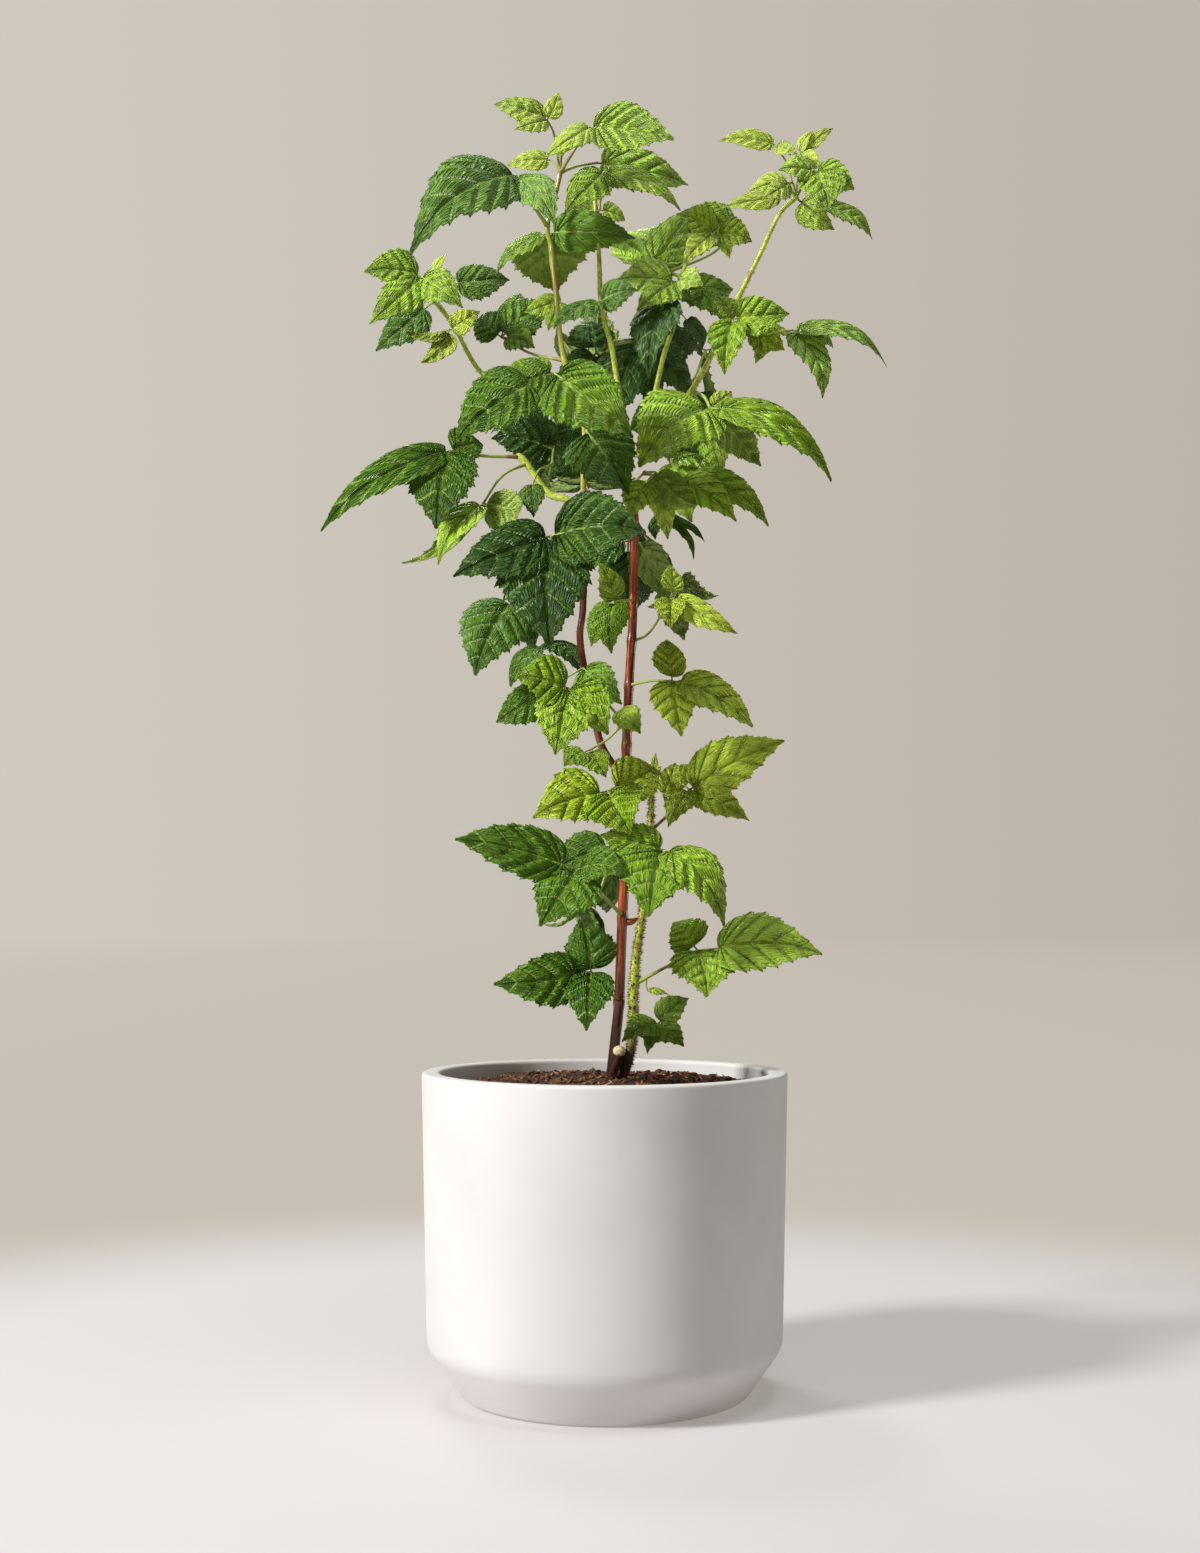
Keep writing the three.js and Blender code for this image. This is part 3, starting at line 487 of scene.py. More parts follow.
def strewing_tree(name, shape_of, material, **sizes):
    """A tree that strews copies of a small shape over a surface, turned and sized at random."""
    g = Nodes()
    g.tree = bpy.data.node_groups.new(name, "GeometryNodeTree")
    face = g.tree.interface
    face.new_socket("Surface", in_out="INPUT", socket_type="NodeSocketGeometry")
    face.new_socket("Strewn", in_out="OUTPUT", socket_type="NodeSocketGeometry")
    sizes = {"Density": 1000.0, "Smallest": 0.6, "Largest": 1.2, "Tilt": 0.3, "Seed": 1, **sizes}
    for label, value in sizes.items():
        kind = "NodeSocketInt" if isinstance(value, int) else "NodeSocketFloat"
        face.new_socket(label, in_out="INPUT", socket_type=kind).default_value = value
    surface, density, smallest, largest, tilt, seed, *own = g.node("NodeGroupInput").outputs[:-1]
    spread = g.node("GeometryNodeDistributePointsOnFaces", surface, distribute_method="RANDOM",
                    Density=density, Seed=seed).outputs
    back = g.node("ShaderNodeMath", tilt, -1.0, operation="MULTIPLY").outputs[0]
    low = g.node("ShaderNodeCombineXYZ", back, back, -math.pi).outputs[0]
    high = g.node("ShaderNodeCombineXYZ", tilt, tilt, math.pi).outputs[0]
    turn = g.node("FunctionNodeRandomValue", low, high, data_type="FLOAT_VECTOR", Seed=seed)
    aim = g.node("FunctionNodeRotateEuler", space="LOCAL", Rotation=spread["Rotation"],
                 Rotate_By=turn.outputs[0])
    size = g.node("FunctionNodeRandomValue", data_type="FLOAT", Seed=seed)
    g.feed(size.inputs[2], smallest)
    g.feed(size.inputs[3], largest)
    hold = g.node("GeometryNodeInstanceOnPoints", spread["Points"], Instance=shape_of(g, *own),
                  Rotation=aim.outputs[0], Scale=size.outputs[1])
    real = g.node("GeometryNodeRealizeInstances", hold.outputs[0])
    coat = g.node("GeometryNodeSetMaterial", real.outputs[0], Material=material)
    g.node("NodeGroupOutput", coat.outputs[0])
    return g.tree


def bristle_shape(g, length, width):
    """A thin pointed cone."""
    return g.node("GeometryNodeMeshCone", Vertices=5, Side_Segments=1, Fill_Segments=1,
                  Radius_Top=0.02 * MM, Radius_Bottom=width, Depth=length).outputs[0]


def chip_shape(g, length, width, thickness):
    """A lumpy ball, drawn out to a chip."""
    ball = g.node("GeometryNodeMeshIcoSphere", Subdivisions=2, Radius=1.0)
    place = g.node("GeometryNodeInputPosition").outputs[0]
    rough = g.node("ShaderNodeTexNoise", place, Scale=1.3, Detail=2.0).outputs["Fac"]
    moved = g.node("ShaderNodeVectorMath", place, operation="SCALE", Scale=rough).outputs[0]
    shaped = g.node("GeometryNodeSetPosition", ball.outputs[0], Position=moved)
    sized = g.node("ShaderNodeCombineXYZ", length, width, thickness)
    return g.node("GeometryNodeTransform", shaped.outputs[0], Scale=sized.outputs[0]).outputs[0]


def strewn(name, surface, tree, slot, **sizes):
    """What the tree strews on a surface, as a piece of its own."""
    modifier = surface.modifiers.new("strew", "NODES")
    modifier.node_group = tree
    sockets = {item.name: item.identifier for item in tree.interface.items_tree}
    for label, value in sizes.items():
        modifier[sockets[label]] = value
    graph = bpy.context.evaluated_depsgraph_get()
    mesh = bpy.data.meshes.new_from_object(surface.evaluated_get(graph), depsgraph=graph)
    surface.modifiers.remove(modifier)
    mesh.name = name
    settle(add_object(name, mesh), slot)


BRISTLES = strewing_tree("bristles", bristle_shape, BRISTLE, Length=0.0012, Width=0.00016)
CHIPS, FIBRES = (
    strewing_tree(name, chip_shape, material, Length=0.004, Width=0.002, Thickness=0.001)
    for name, material in (("bark_chips", CHIP_DARK), ("coir_fibres", CHIP_PALE))
)

# ----- Pot -----


def rounded(corner, before, after, radius):
    """Points of a soft corner between two straight runs."""
    corner, before, after = (np.array(p, float) for p in (corner, before, after))
    start = corner + unit(before - corner) * radius
    end = corner + unit(after - corner) * radius
    t = np.linspace(0, 1, 8)[:, None]
    return list((1 - t) ** 2 * start + 2 * t * (1 - t) * corner + t**2 * end)


def make_pot():
    # Radius, height and softness of each corner, from the underside's middle round the wall to the floor's.
    corners = [
        (0, 0, 0), (FOOT_RADIUS, 0, 3.5 * MM), (CREASE_RADIUS, CREASE_TALL, 7 * MM),
        (RIM_RADIUS, POT_TALL, 2.6 * MM), (RIM_RADIUS - WALL, POT_TALL, 3 * MM),
        (CREASE_RADIUS - WALL, CREASE_TALL + 5 * MM, 4 * MM), (FOOT_RADIUS - 3 * MM, FLOOR_TALL, 4 * MM),
        (0, FLOOR_TALL, 0),
    ]
    longest_run = 12 * MM
    profile = [(0, 0), (FOOT_RADIUS * 0.6, 0)]
    for before, (*corner, softness), after in zip(corners, corners[1:], corners[2:]):
        profile += rounded(corner, before[:2], after[:2], softness)
        if after != corners[-1]:
            start, end = profile[-1], np.array(after[:2])
            steps = int(np.linalg.norm(end - start) / longest_run)
            profile += [start + (end - start) * s / (steps + 1) for s in range(1, steps)]
    profile += [(FOOT_RADIUS * 0.4, FLOOR_TALL), (0, FLOOR_TALL)]
    settle(turned("clay_pot", profile, POT_SIDES, CLAY), "clay_pot", "pot")


# ----- Compost -----


def soil_height(x, y):
    """Lumpy compost that rises a little in the middle."""
    height = SOIL_EDGE - SOIL_SINK + SOIL_RISE * (1 - (np.hypot(x, y) / SOIL_RADIUS) ** 4)
    rng = random.Random(SOIL_SEED)
    for waves, tall in ((60, 1.1), (110, 0.9), (210, 0.7), (400, 0.45), (760, 0.3)):
        for _ in range(5):
            way, start = rng.uniform(0, 2 * math.pi), rng.uniform(0, 2 * math.pi)
            across = x * math.cos(way) + y * math.sin(way)
            height = height + tall * MM * 0.5 * np.sin(waves * across + start)
    return height


def make_soil():
    rings, sides = 44, 160
    radii = np.linspace(SOIL_RADIUS / rings, SOIL_RADIUS + 0.7 * MM, rings)[:, None]
    bottom = SOIL_EDGE - SOIL_DEEP
    x, y = (radii * share for share in turns(sides))
    top = np.stack([x, y, soil_height(x, y)], axis=2).reshape(-1, 3)
    low = np.column_stack([x[-1] * SOIL_TAPER, y[-1] * SOIL_TAPER, np.full(sides, bottom)])
    middle = (0, 0, soil_height(0.0, 0.0))
    soil = Shape()
    faces = [(face[0], *face[:0:-1]) for face in tube_faces(rings + 1, sides)]
    soil.add(np.vstack([top, low, [middle, (0, 0, bottom)]]), faces)
    settle(soil.build("compost", COMPOST), "bark_compost", "soil")
    field = Shape()
    around = [(rings * sides, k, (k + 1) % sides) for k in range(sides)]
    field.add(np.vstack([top, [middle]]), faces[: (rings - 1) * sides] + around)
    surface = field.build("compost_field", COMPOST)
    strewn("compost_bark_chips", surface, CHIPS, "bark_compost", Density=42000.0, Smallest=0.35,
           Largest=1.35, Tilt=0.8, Seed=3, Length=0.0048, Width=0.0030, Thickness=0.0022)
    strewn("compost_coir_fibres", surface, FIBRES, "bark_compost", Density=15000.0, Smallest=0.4,
           Largest=1.3, Tilt=0.6, Seed=8, Length=0.0066, Width=0.0012, Thickness=0.0009)
    bpy.data.objects.remove(surface)


# ----- Canes -----
# Each cane: its piece's name, its material, its slot, its bristles to the square metre and their length in
# metres, its radius at the lower and at the upper end, and its path from the lower end up.
CANES = {
    "cane_main": ("old_cane", BARK_MAIN, "red_bark", 12000.0, 0.0011, 3.9, 2.9, [
    (9,0,166), (5,0,209), (7,0,236), (10,0,265), (12,0,313), (14,0,360), (15,2,426), (17,3,483), (20,4,536),
    (21,4,592), (21,4,637)]),
    "cane_left": ("left_cane", BARK_LEFT, "red_bark", 60000.0, 0.0012, 2.7, 1.6, [
    (8,2,430), (-2,-4,446), (-7,-6,466), (-17,-6,518), (-15,-6,549), (-15,-4,635), (-15,-2,679),
    (-29,0,724), (-34,0,764), (-38,0,804), (-41,0,821), (-34,0,849), (-32,0,860)]),
    "stem_middle": ("middle_stem", STEM_GREEN, "green_stem", 120000.0, 0.0013, 2.2, 1.4, [
    (20,5,660), (11,6,699), (5,6,735), (0,2,752), (-3,0,772), (-4,5,803), (-7,10,843)]),
    "stem_right": ("right_stem", STEM_GREEN, "green_stem", 150000.0, 0.0014, 2.2, 1.4, [
    (24,8,655), (31,14,687), (36,16,701), (43,18,732), (51,18,757), (53,20,779), (62,25,810)]),
    "stem_far_right": ("far_right_stem", STEM_GREEN, "green_stem", 180000.0, 0.0014, 2.4, 1.5, [
    (36,14,668), (51,18,688), (65,20,709), (79,20,735), (95,20,770), (113,18,806), (127,16,835),
    (140,15,848)]),
    "stem_upper_left": ("upper_left_stem", STEM_GREEN, "green_stem", 180000.0, 0.0014, 1.9, 1.4, [
    (-19,-2,688), (-53,0,698), (-87,0,713), (-108,0,748), (-122,0,767), (-129,0,776)]),
    "stem_mid_left": ("mid_left_stem", STEM_GREEN, "green_stem", 120000.0, 0.0013, 2.6, 2, [
    (-15,-4,619), (-27,-2,622), (-39,0,626), (-47,0,636), (-57,0,650), (-62,0,654)]),
    "cane_young": ("young_cane", STEM_YOUNG, "green_stem", 500000.0, 0.0020, 4.1, 2, [
    (15,-3,166), (13,-5,210), (16,-6,227), (19,-6,240), (20,-5,262), (20,-5,273), (23,-6,305), (27,-7,332),
    (30,-8,359), (32,-8,383), (33,-8,415)]),
    "cane_cut_stub": ("cut_stub", BARK_MAIN, "red_bark", 0.0, 0.0, 4.2, 3.9, [
    (10,-6,166), (4,-9,208), (10,-11,232)]),
}

BUD = [(14, 0, 322), (19, -1, 323), (23, -2, 325)]
CANE_PATHS = {name: smooth_path(metres(cane[-1]), CANE_STEPS) for name, cane in CANES.items()}


def cane_radii(name, low_radius, high_radius):
    """The cane's radius along it, with a slight knuckle where each leaf leaves it."""
    path = CANE_PATHS[name]
    radii = np.linspace(low_radius, high_radius, len(path)) * MM
    for cane, height, *_ in LEAVES.values():
        if cane == name:
            away = (path[:, 2] - (height - 1) * MM) / KNUCKLE_REACH
            radii *= 1 + KNUCKLE * np.exp(-(away**2))
    return radii


def make_cane(name):
    label, finish, slot, density, bristle, low_radius, high_radius, _ = CANES[name]
    shape = Shape()
    add_bar(shape, CANE_PATHS[name], cane_radii(name, low_radius, high_radius), CANE_SIDES)
    if name == "cane_main":
        swell = np.interp(np.linspace(0, 1, 13), [0, 0.45, 0.8, 1], [2.2, 2.6, 1.9, 0.7])
        add_bar(shape, smooth_path(metres(BUD), 12), swell * MM, 12)
    cane = shape.build(label, finish)
    if density:
        strewn(label + "_bristles", cane, BRISTLES, slot, Density=density, Tilt=0.5, Seed=11,
               Length=bristle, Width=bristle * 0.13)
    settle(cane, slot, name)


def make_stub_face():
    """The pale cut across the top of the stub."""
    path = CANE_PATHS["cane_cut_stub"]
    way = unit(unit(path[-1] - path[-4]) + (-0.2, -0.9, 0.2))
    run = [path[-1] + (way * s + (0, 0, 0.5)) * MM for s in (0.2, 1.6, 2.8, 3.6)]
    shape = Shape()
    add_bar(shape, run, metres((4.1, 4.3, 4.0, 3.1)), CANE_SIDES)
    settle(shape.build("cut_stub_wood", CUT_WOOD), "root")


def make_crown():
    """The knob and roots under the compost."""
    shape = Shape()
    centre = metres((12, -2, 158))
    heights = np.linspace(-15.5, 15.5, 15) * MM
    girth = 20 * MM * np.sqrt(np.clip(1 - (heights / (16 * MM)) ** 2, 0.02, 1))
    add_bar(shape, [centre + (0, 0, h) for h in heights], girth, 28)
    for x, y in zip(*turns(5)):
        way = np.array((x, y, 0))
        run = [centre, centre + way * 31 * MM - (0, 0, 15 * MM), centre + way * 62 * MM - (0, 0, 75 * MM)]
        add_bar(shape, smooth_path(run, 20), np.linspace(3.2, 1.2, 21) * MM, 10)
    settle(shape.build("root_crown_wood", ROOT_SKIN), "root", "root_crown")


# ----- Leaves -----
# Each leaf: the cane it grows from, the height where it leaves the cane, its age, its tones (how deep or
# pale it is painted, partly with painted shade and light) and its sprays.
# A spray: where its stalk bends, where its leaflets meet, where its stalk forks off if not at the cane, and
# its leaflets. A leaflet: the reach of its tip in x, y and z from where the leaflets meet, its width and
# its turn about its own length in degrees. Where they aren't the usual ones, the length of its own short
# stalk and its arch, as a share of its length, follow.
USUAL_NECK = 2
USUAL_ARCH = 0.07
LEAVES = {
    "top": ("cane_left", 860, "mid", "pale", [
    ((-36,-4,886), (-41,-7,896), [(-38,-5,11,20,-30,2,0.12), (-23,-15,-13,15,-25), (8,-5,19,13,30)]),
    ((-21,-7,875), (-10,-14,888), [(-32,-20,-28,18,-15), (59,-10,-12,40,20,2,0)]),
    ((-20,11,869), (-5,17,874), [(68,13,-10,33,28,3)]),
    ((-35,7,868), (-39,9,873), [(-32,2,-3,15,-30,2,0.14)]),
    ((-30,-6,874), (-25,-11,882), [(-8,-16,-22,13,-20), (9,10,15,9,30,1)])]),
    "top_left": ("cane_left", 821, "old", "usual", [
    ((-50,-21,828), (-62,-31,846), [(-72,-28,-57,50,-14,3,0.16), (28,-28,-43,28,10,3)])]),
    "top_back": ("cane_left", 803, "mid", "middle", [
    ((-40,11,814), (-42,17,822), [(64,-12,-8,30,40,6), (6,28,-35,56,186,3), (-38,-7,-31,22,12,4)]),
    ((-38,11,792), (-32,20,773), (-40,11,814), [(-9,-8,-24,18,0,3), (-26,-4,-10,16,-30,3)])]),
    "middle_top": ("stem_middle", 842, "mid", "pale", [
    ((-3,11,856), (0,4,862), [(-29,-15,-34,30,-5), (55,-10,-28,22,5)]),
    ((-3,24,853), (-3,28,843), (-3,11,856), [(-27,10,3,15,-25), (19,10,-4,16,25)])]),
    "right_tip": ("stem_far_right", 847, "mid", "pale", [
    ((133,14,871), (124,11,885), [(-41,-3,3,15,-30), (15,-8,-10,12,20)]),
    ((142,21,870), (143,23,884), [(26,4,21,10,30), (16,-8,-15,14,30), (9,-2,16,8,0,1)]),
    ((146,14,859), (152,7,864), [(28,-5,-14,26,30), (8,-13,-33,32,10), (-26,-11,-2,20,-25,3)]),
    ((142,31,852), (144,37,853), [(24,-6,-24,21,58), (56,4,-23,27,-8,20)]),
    ((136,11,851), (133,3,854), [(-30,-2,-8,15,-35), (-20,-12,-16,16,-30)]),
    ((136,11,857), (127,4,844), [(-43,-10,-10,15,-25)])]),
    "right_stem_tip": ("stem_right", 809, "young", "usual", [
    ((71,34,822), (81,31,827), [(-28,-7,12,22,-30,3), (27,-4,-8,23,30,3), (-24,-17,-29,18,-15,4),
    (12,8,-17,11,20,3)])]),
    "right_upright": ("stem_right", 791, "mid", "pale", [
    ((46,37,799), (34,43,803), [(11,38,47,54,0), (31,22,55,30,20,3)]),
    ((80,48,817), (99,65,841), (46,37,799), [(-46,-8,5,34,-30,3,0.12)])]),
    "right_pale": ("stem_right", 778, "mid", "pale", [
    ((53,11,779), (51,0,780), [(-43,-15,-2,33,-20,3), (-28,-25,-27,27,-12,3), (18,-20,-8,20,30,3)])]),
    "right_inner": ("stem_right", 768, "mid", "usual", [
    ((54,34,781), (58,43,789), [(36,-15,-31,33,-10,3), (39,20,6,25,40,4)])]),
    "far_right_front": ("stem_far_right", 774, "young", "middle", [
    ((95,14,765), (92,0,753), [(40,-5,3,30,25,3), (-7,-15,-44,25,0,4), (-12,4,18,17,0)])]),
    "far_right_back": ("stem_far_right", 764, "young", "usual", [
    ((101,37,764), (109,40,761), [(3,0,-29,24,-38), (23,-6,-21,25,68), (38,12,-12,16,-18,16)])]),
    "right_hanging": ("stem_right", 752, "old", "deep", [
    ((46,2,759), (44,-8,764), [(-15,-25,-58,33,15), (28,5,-33,24,-20,20)])]),
    "middle_low": ("stem_middle", 735, "old", "deep", [
    ((15,21,742), (26,34,746), [(-20,-9,-61,40,0,3), (8,5,-50,27,-20,4), (-29,16,-1,24,30,7),
    (46,28,11,36,20,4), (42,24,-37,36,0,4)]),
    ((1,37,739), (-6,57,745), (5,6,735), [(-27,6,-35,34,-10,3), (21,12,-32,36,10,3), (-5,12,29,32,0,4)])]),
    "middle_front": ("stem_middle", 772, "old", "middle", [
    ((-3,-17,762), (-3,-28,757), [(-33,-15,-20,24,10,3), (25,-10,6,25,20)])]),
    "far_right_low": ("stem_far_right", 749, "old", "pale", [
    ((114,28,751), (137,21,751), [(69,-5,-23,23,-8,3,0.14), (22,-15,-50,26,-12,3), (33,15,-7,14,20,10)])]),
    "left_tip": ("stem_upper_left", 775, "mid", "usual", [
    ((-130,-4,779), (-131,-9,781), [(-39,-9,1,31,-20), (-33,-24,-40,29,-18,3), (31,-19,-27,27,18,3)]),
    ((-127,3,783), (-124,3,787), (-130,-4,779), [(10,3,16,7,0,1), (7,-8,1,6,0,1)])]),
    "left_back": ("stem_upper_left", 766, "old", "usual", [
    ((-114,17,780), (-110,26,787), [(41,7,7,26,28,3)])]),
    "left_outer": ("stem_upper_left", 762, "old", "middle", [
    ((-124,14,769), (-129,23,769), [(-37,-6,-33,27,-20,3)])]),
    "left_underside": ("stem_upper_left", 748, "young", "usual", [
    ((-108,-14,742), (-109,-20,739), [(-31,-1,-2,24,206,3), (-19,-16,-29,19,190,3), (21,-6,12,17,30)])]),
    "left_inner": ("cane_left", 723, "old", "usual", [
    ((-53,11,731), (-75,21,746), [(-20,5,16,27,-20,3), (37,10,30,30,20,4), (24,-10,-9,22,15,6),
    (13,15,39,24,0,4)])]),
    "front_high": ("cane_left", 714, "mid", "middle", [
    ((-30,-57,697), (-34,-88,689), [(52,-23,-45,50,14,3), (-64,-18,-48,43,-12,20), (-34,12,7,21,-20,3),
    (-26,-8,-11,28,-14)])]),
    "front_small": ("cane_left", 680, "mid", "deep", [
    ((-13,-28,667), (-12,-43,660), [(28,-20,-46,46,6)])]),
    "right_fan": ("stem_far_right", 706, "mid", "usual", [
    ((70,-14,693), (73,-43,677), [(-50,-30,-46,56,-6,4,0.1), (85,5,-49,32,-2,5,0.19), (35,20,-36,27,214,10),
    (16,10,15,13,30,3)]),
    ((76,-7,677), (77,-9,665), [(5,-14,-29,20,0)])]),
    "right_middle": ("cane_main", 635, "mid", "pale", [
    ((36,-14,634), (52,-26,631), [(38,-22,-33,24,22,3), (63,-2,-32,26,10,6,0.14)]),
    ((28,-28,635), (35,-40,633), [(28,-22,-29,25,200), (-18,-12,-34,23,0,12), (9,8,-46,18,10,3)]),
    ((46,28,644), (49,37,660), (28,-28,635), [(37,-6,-10,34,-23,3), (12,-12,-48,34,38,4)])]),
    "right_back": ("cane_main", 628, "old", "deep", [
    ((33,28,628), (42,37,621), [(32,-1,-21,13,-23), (-6,-16,-23,18,38,4), (26,-2,-33,13,-28,3)])]),
    "far_left": ("stem_mid_left", 653, "mid", "deep", [
    ((-87,-7,652), (-109,-17,653), [(-91,-8,-55,26,-14,3,0.17), (-7,-28,-60,46,0,3), (23,16,9,27,20,3)])]),
    "mid_left": ("stem_mid_left", 648, "mid", "pale", [
    ((-72,-14,636), (-85,-21,615), [(-55,5,-44,23,-160,14), (-31,-20,-44,25,10,3),
    (30,-25,-7,28,214,3,0.12)])]),
    "mid_left_inner": ("stem_mid_left", 629, "old", "deep", [
    ((-38,17,651), (-37,26,665), [(-45,-3,8,32,-30,4), (-10,7,-29,27,20,3), (-40,22,40,32,-20,4),
    (5,12,24,30,0,3)]),
    ((-46,-11,641), (-50,-26,628), (-38,17,651), [(1,-15,-26,17,0)])]),
    "front_trio": ("cane_left", 578, "old", "deep", [
    ((-27,-50,580), (-36,-78,581), [(-64,-20,-28,41,-14,4), (62,-20,1,56,14,3), (0,-30,-78,59,0,4)])]),
    "behind_cane": ("cane_main", 598, "old", "pale", [
    ((23,21,597), (26,28,596), [(21,20,-40,27,182)])]),
    "right_small": ("cane_main", 522, "young", "pale", [
    ((32,7,528), (48,14,554), [(0,5,25,17,30,4), (-1,-15,-24,21,0,3), (47,-5,-26,18,25,5)])]),
    "left_low": ("cane_left", 557, "old", "middle", [
    ((-42,-11,548), (-65,-28,544), [(-24,-15,-52,43,-6), (18,25,-30,26,0,7)]),
    ((-42,17,537), (-43,36,525), (-42,-12,549), [(-26,-5,-32,27,28,6), (26,-20,-21,24,-18,4)])]),
    "cane_cluster": ("cane_main", 551, "mid", "middle", [
    ((12,-17,547), (7,-28,544), [(-3,-20,-36,26,10), (-17,5,-30,22,0,3), (-10,-10,26,19,0)])]),
    "bright_trio": ("cane_left", 475, "mid", "usual", [
    ((-18,-43,476), (-25,-64,480), [(-35,-10,8,35,-16), (27,-15,-31,36,14), (-8,-20,-46,38,0,4)])]),
    "left_dark": ("cane_main", 461, "old", "usual", [
    ((-3,-17,481), (-15,-21,499), [(26,-15,-25,28,20), (-62,10,-37,25,-35,34)])]),
    "cane_low": ("cane_main", 447, "mid", "middle", [
    ((12,-21,459), (9,-34,468), [(15,-16,-17,18,20)]),
    ((2,-23,449), (-9,-26,442), (12,-21,459), [(-19,-10,-12,20,0,7), (10,-12,-20,19,0,3)])]),
    "right_trio": ("cane_main", 490, "young", "pale", [
    ((32,-11,491), (47,-21,490), [(-3,15,32,22,10,3), (6,-15,-40,30,0), (56,-5,-32,29,2,6,0.15)])]),
    "cane_lime": ("cane_main", 415, "young", "usual", [
    ((7,-21,414), (2,-40,412), [(-50,-17,-18,37,-20,6), (15,-22,-30,40,12,4), (34,28,19,32,24,7)])]),
    "young_high": ("cane_young", 386, "young", "pale", [
    ((47,-3,400), (60,7,416), [(67,-5,35,35,22,3,0.04), (41,-15,-22,22,20,4), (-18,15,15,26,-20,4),
    (-16,-25,-27,20,0,4)]),
    ((43,-7,406), (41,-11,411), (47,-3,400), [(9,10,24,16,10)])]),
    "low_left": ("cane_main", 326, "mid", "deep", [
    ((-3,-28,343), (-18,-57,358), [(-81,-20,21,36,-18,10,0.03), (-25,-30,-36,44,0,3),
    (32,-20,-2,28,10,3,0.12)])]),
    "low_front": ("cane_young", 359, "mid", "usual", [
    ((37,-36,367), (40,-54,371), [(-11,-32,-44,48,0), (40,-17,-50,32,-4,3,0.2), (-43,4,11,27,-28,3)])]),
    "bottom_left": ("cane_main", 268, "mid", "deep", [
    ((-1,-28,279), (-9,-50,289), [(-64,-20,-6,34,-22,12), (-8,5,36,34,0), (-3,-35,-36,32,0)])]),
    "bottom_right": ("cane_young", 279, "mid", "pale", [
    ((38,-12,289), (64,-25,303), [(-17,10,20,28,-16,4), (5,-25,-29,43,0), (83,-20,-1,39,18,15,0.11)]),
    ((29,-9,278), (30,-10,275), (29,-8,284), [(15,2,-2,10,-30,1)])]),
    "back_upper": ("cane_left", 690, "old", "deep", [
    ((-30,36,703), (-39,78,706), [(-48,15,-12,34,0,3), (37,25,-10,34,0,3), (-5,30,-49,44,0,8)]),
    ((-24,71,711), (-4,91,742), (-30,36,703), [(-34,16,33,36,-160,4), (35,18,33,36,160,4),
    (1,28,60,40,180,6)])]),
    "back_right": ("stem_right", 700, "old", "deep", [
    ((51,62,709), (61,94,712), [(46,20,-15,32,38,3), (-43,18,-12,32,-38,3), (5,25,-49,42,38,8)]),
    ((67,77,730), (77,94,757), (51,62,709), [(36,8,18,32,122,4), (-25,18,31,32,238,4),
    (10,26,-32,38,142,6)])]),
    "back_middle": ("cane_main", 610, "old", "deep", [
    ((24,50,615), (18,92,610), [(-48,10,-15,32,0,3), (37,20,-20,32,0,3), (0,25,-53,44,0,8)]),
    ((-6,57,634), (-14,88,651), (24,50,615), [(-35,12,7,32,-160,4), (33,22,17,34,160,4),
    (-3,38,44,40,180,6)]),
    ((45,57,585), (56,68,579), (24,50,615), [(27,12,-16,26,160,4), (-20,16,-23,26,200,4),
    (4,28,-44,32,180,6)])]),
    "back_low": ("cane_main", 380, "old", "usual", [
    ((8,50,386), (4,88,379), [(-45,15,-20,30,-38,3), (43,15,-20,30,38,3), (0,25,-51,40,-38,8)]),
    ((-3,37,345), (-13,62,338), (8,50,386), [(-28,8,-21,28,-122,4), (17,20,-32,28,122,4),
    (-5,30,-47,34,218,6)])]),
    "bottom_dark": ("cane_young", 248, "old", "pale", [
    ((30,-12,250), (37,-18,253), [(-24,-22,-8,22,0), (21,3,18,19,10), (17,-17,-14,19,0),
    (-8,-17,-19,12,0,3)])]),
}

GROWING_TIP = [
    ((34,-8,418), (34,-8,421), [(2,-1,20,7,0,1), (-5,-4,9,6,30,1), (6,4,11,6,0,1)]),
]

# How deep or pale each leaf is painted: deep leaves carry painted shade and pale ones painted light, each
# partly their own darker or paler green.
TONES = {"deep": (0.02, 0.34), "middle": (0.2, 0.5), "usual": (0.4, 0.9), "pale": (0.8, 1.0)}
AGES = {
    # fold of the two halves, camber of each half, pleat height, curl of the tip
    "old": (0.10, 0.20, 0.072, 0.07),
    "mid": (0.14, 0.15, 0.072, 0.05),
    "young": (0.24, 0.08, 0.09, 0.03),
}
# A blade is a grid whose rows follow the side veins, from the midrib to the toothed margin, curving towards
# the tip. The outline gives a share of the way round the margin, and the margin's place along and across.
OUTLINE = [
    (0, 0, 0), (0.05, -0.02, 0.13), (0.11, -0.01, 0.28), (0.19, 0.06, 0.41), (0.28, 0.16, 0.485),
    (0.38, 0.28, 0.51), (0.49, 0.41, 0.485), (0.6, 0.54, 0.415), (0.71, 0.67, 0.315), (0.81, 0.785, 0.21),
    (0.89, 0.875, 0.115), (0.95, 0.94, 0.05), (0.98, 0.975, 0.02), (1, 1, 0),
]
# Forward-leaning teeth for each vein: the first, at the vein's end, is the largest.
TEETH = (1.0, 0.42, 0.5, 0.56, 0.02, 0.16, 0.5, 0.3, 0.68)
SMALL_TEETH = (1.0, 0.35, 0.5, 0.06, 0.42, 0.5)
TOOTH_SIZE = 0.074
ACROSS = (0, 0.04, 0.12, 0.22, 0.33, 0.44, 0.56, 0.68, 0.79, 0.88, 0.95, 1)
SMALL_ACROSS = (0, 0.06, 0.2, 0.4, 0.6, 0.8, 0.93, 1)
VEIN_LAG = 0.62
WIDTHS_FOR_MORE_VEINS = metres((9, 15, 22, 38))
FEWEST_VEINS = 4


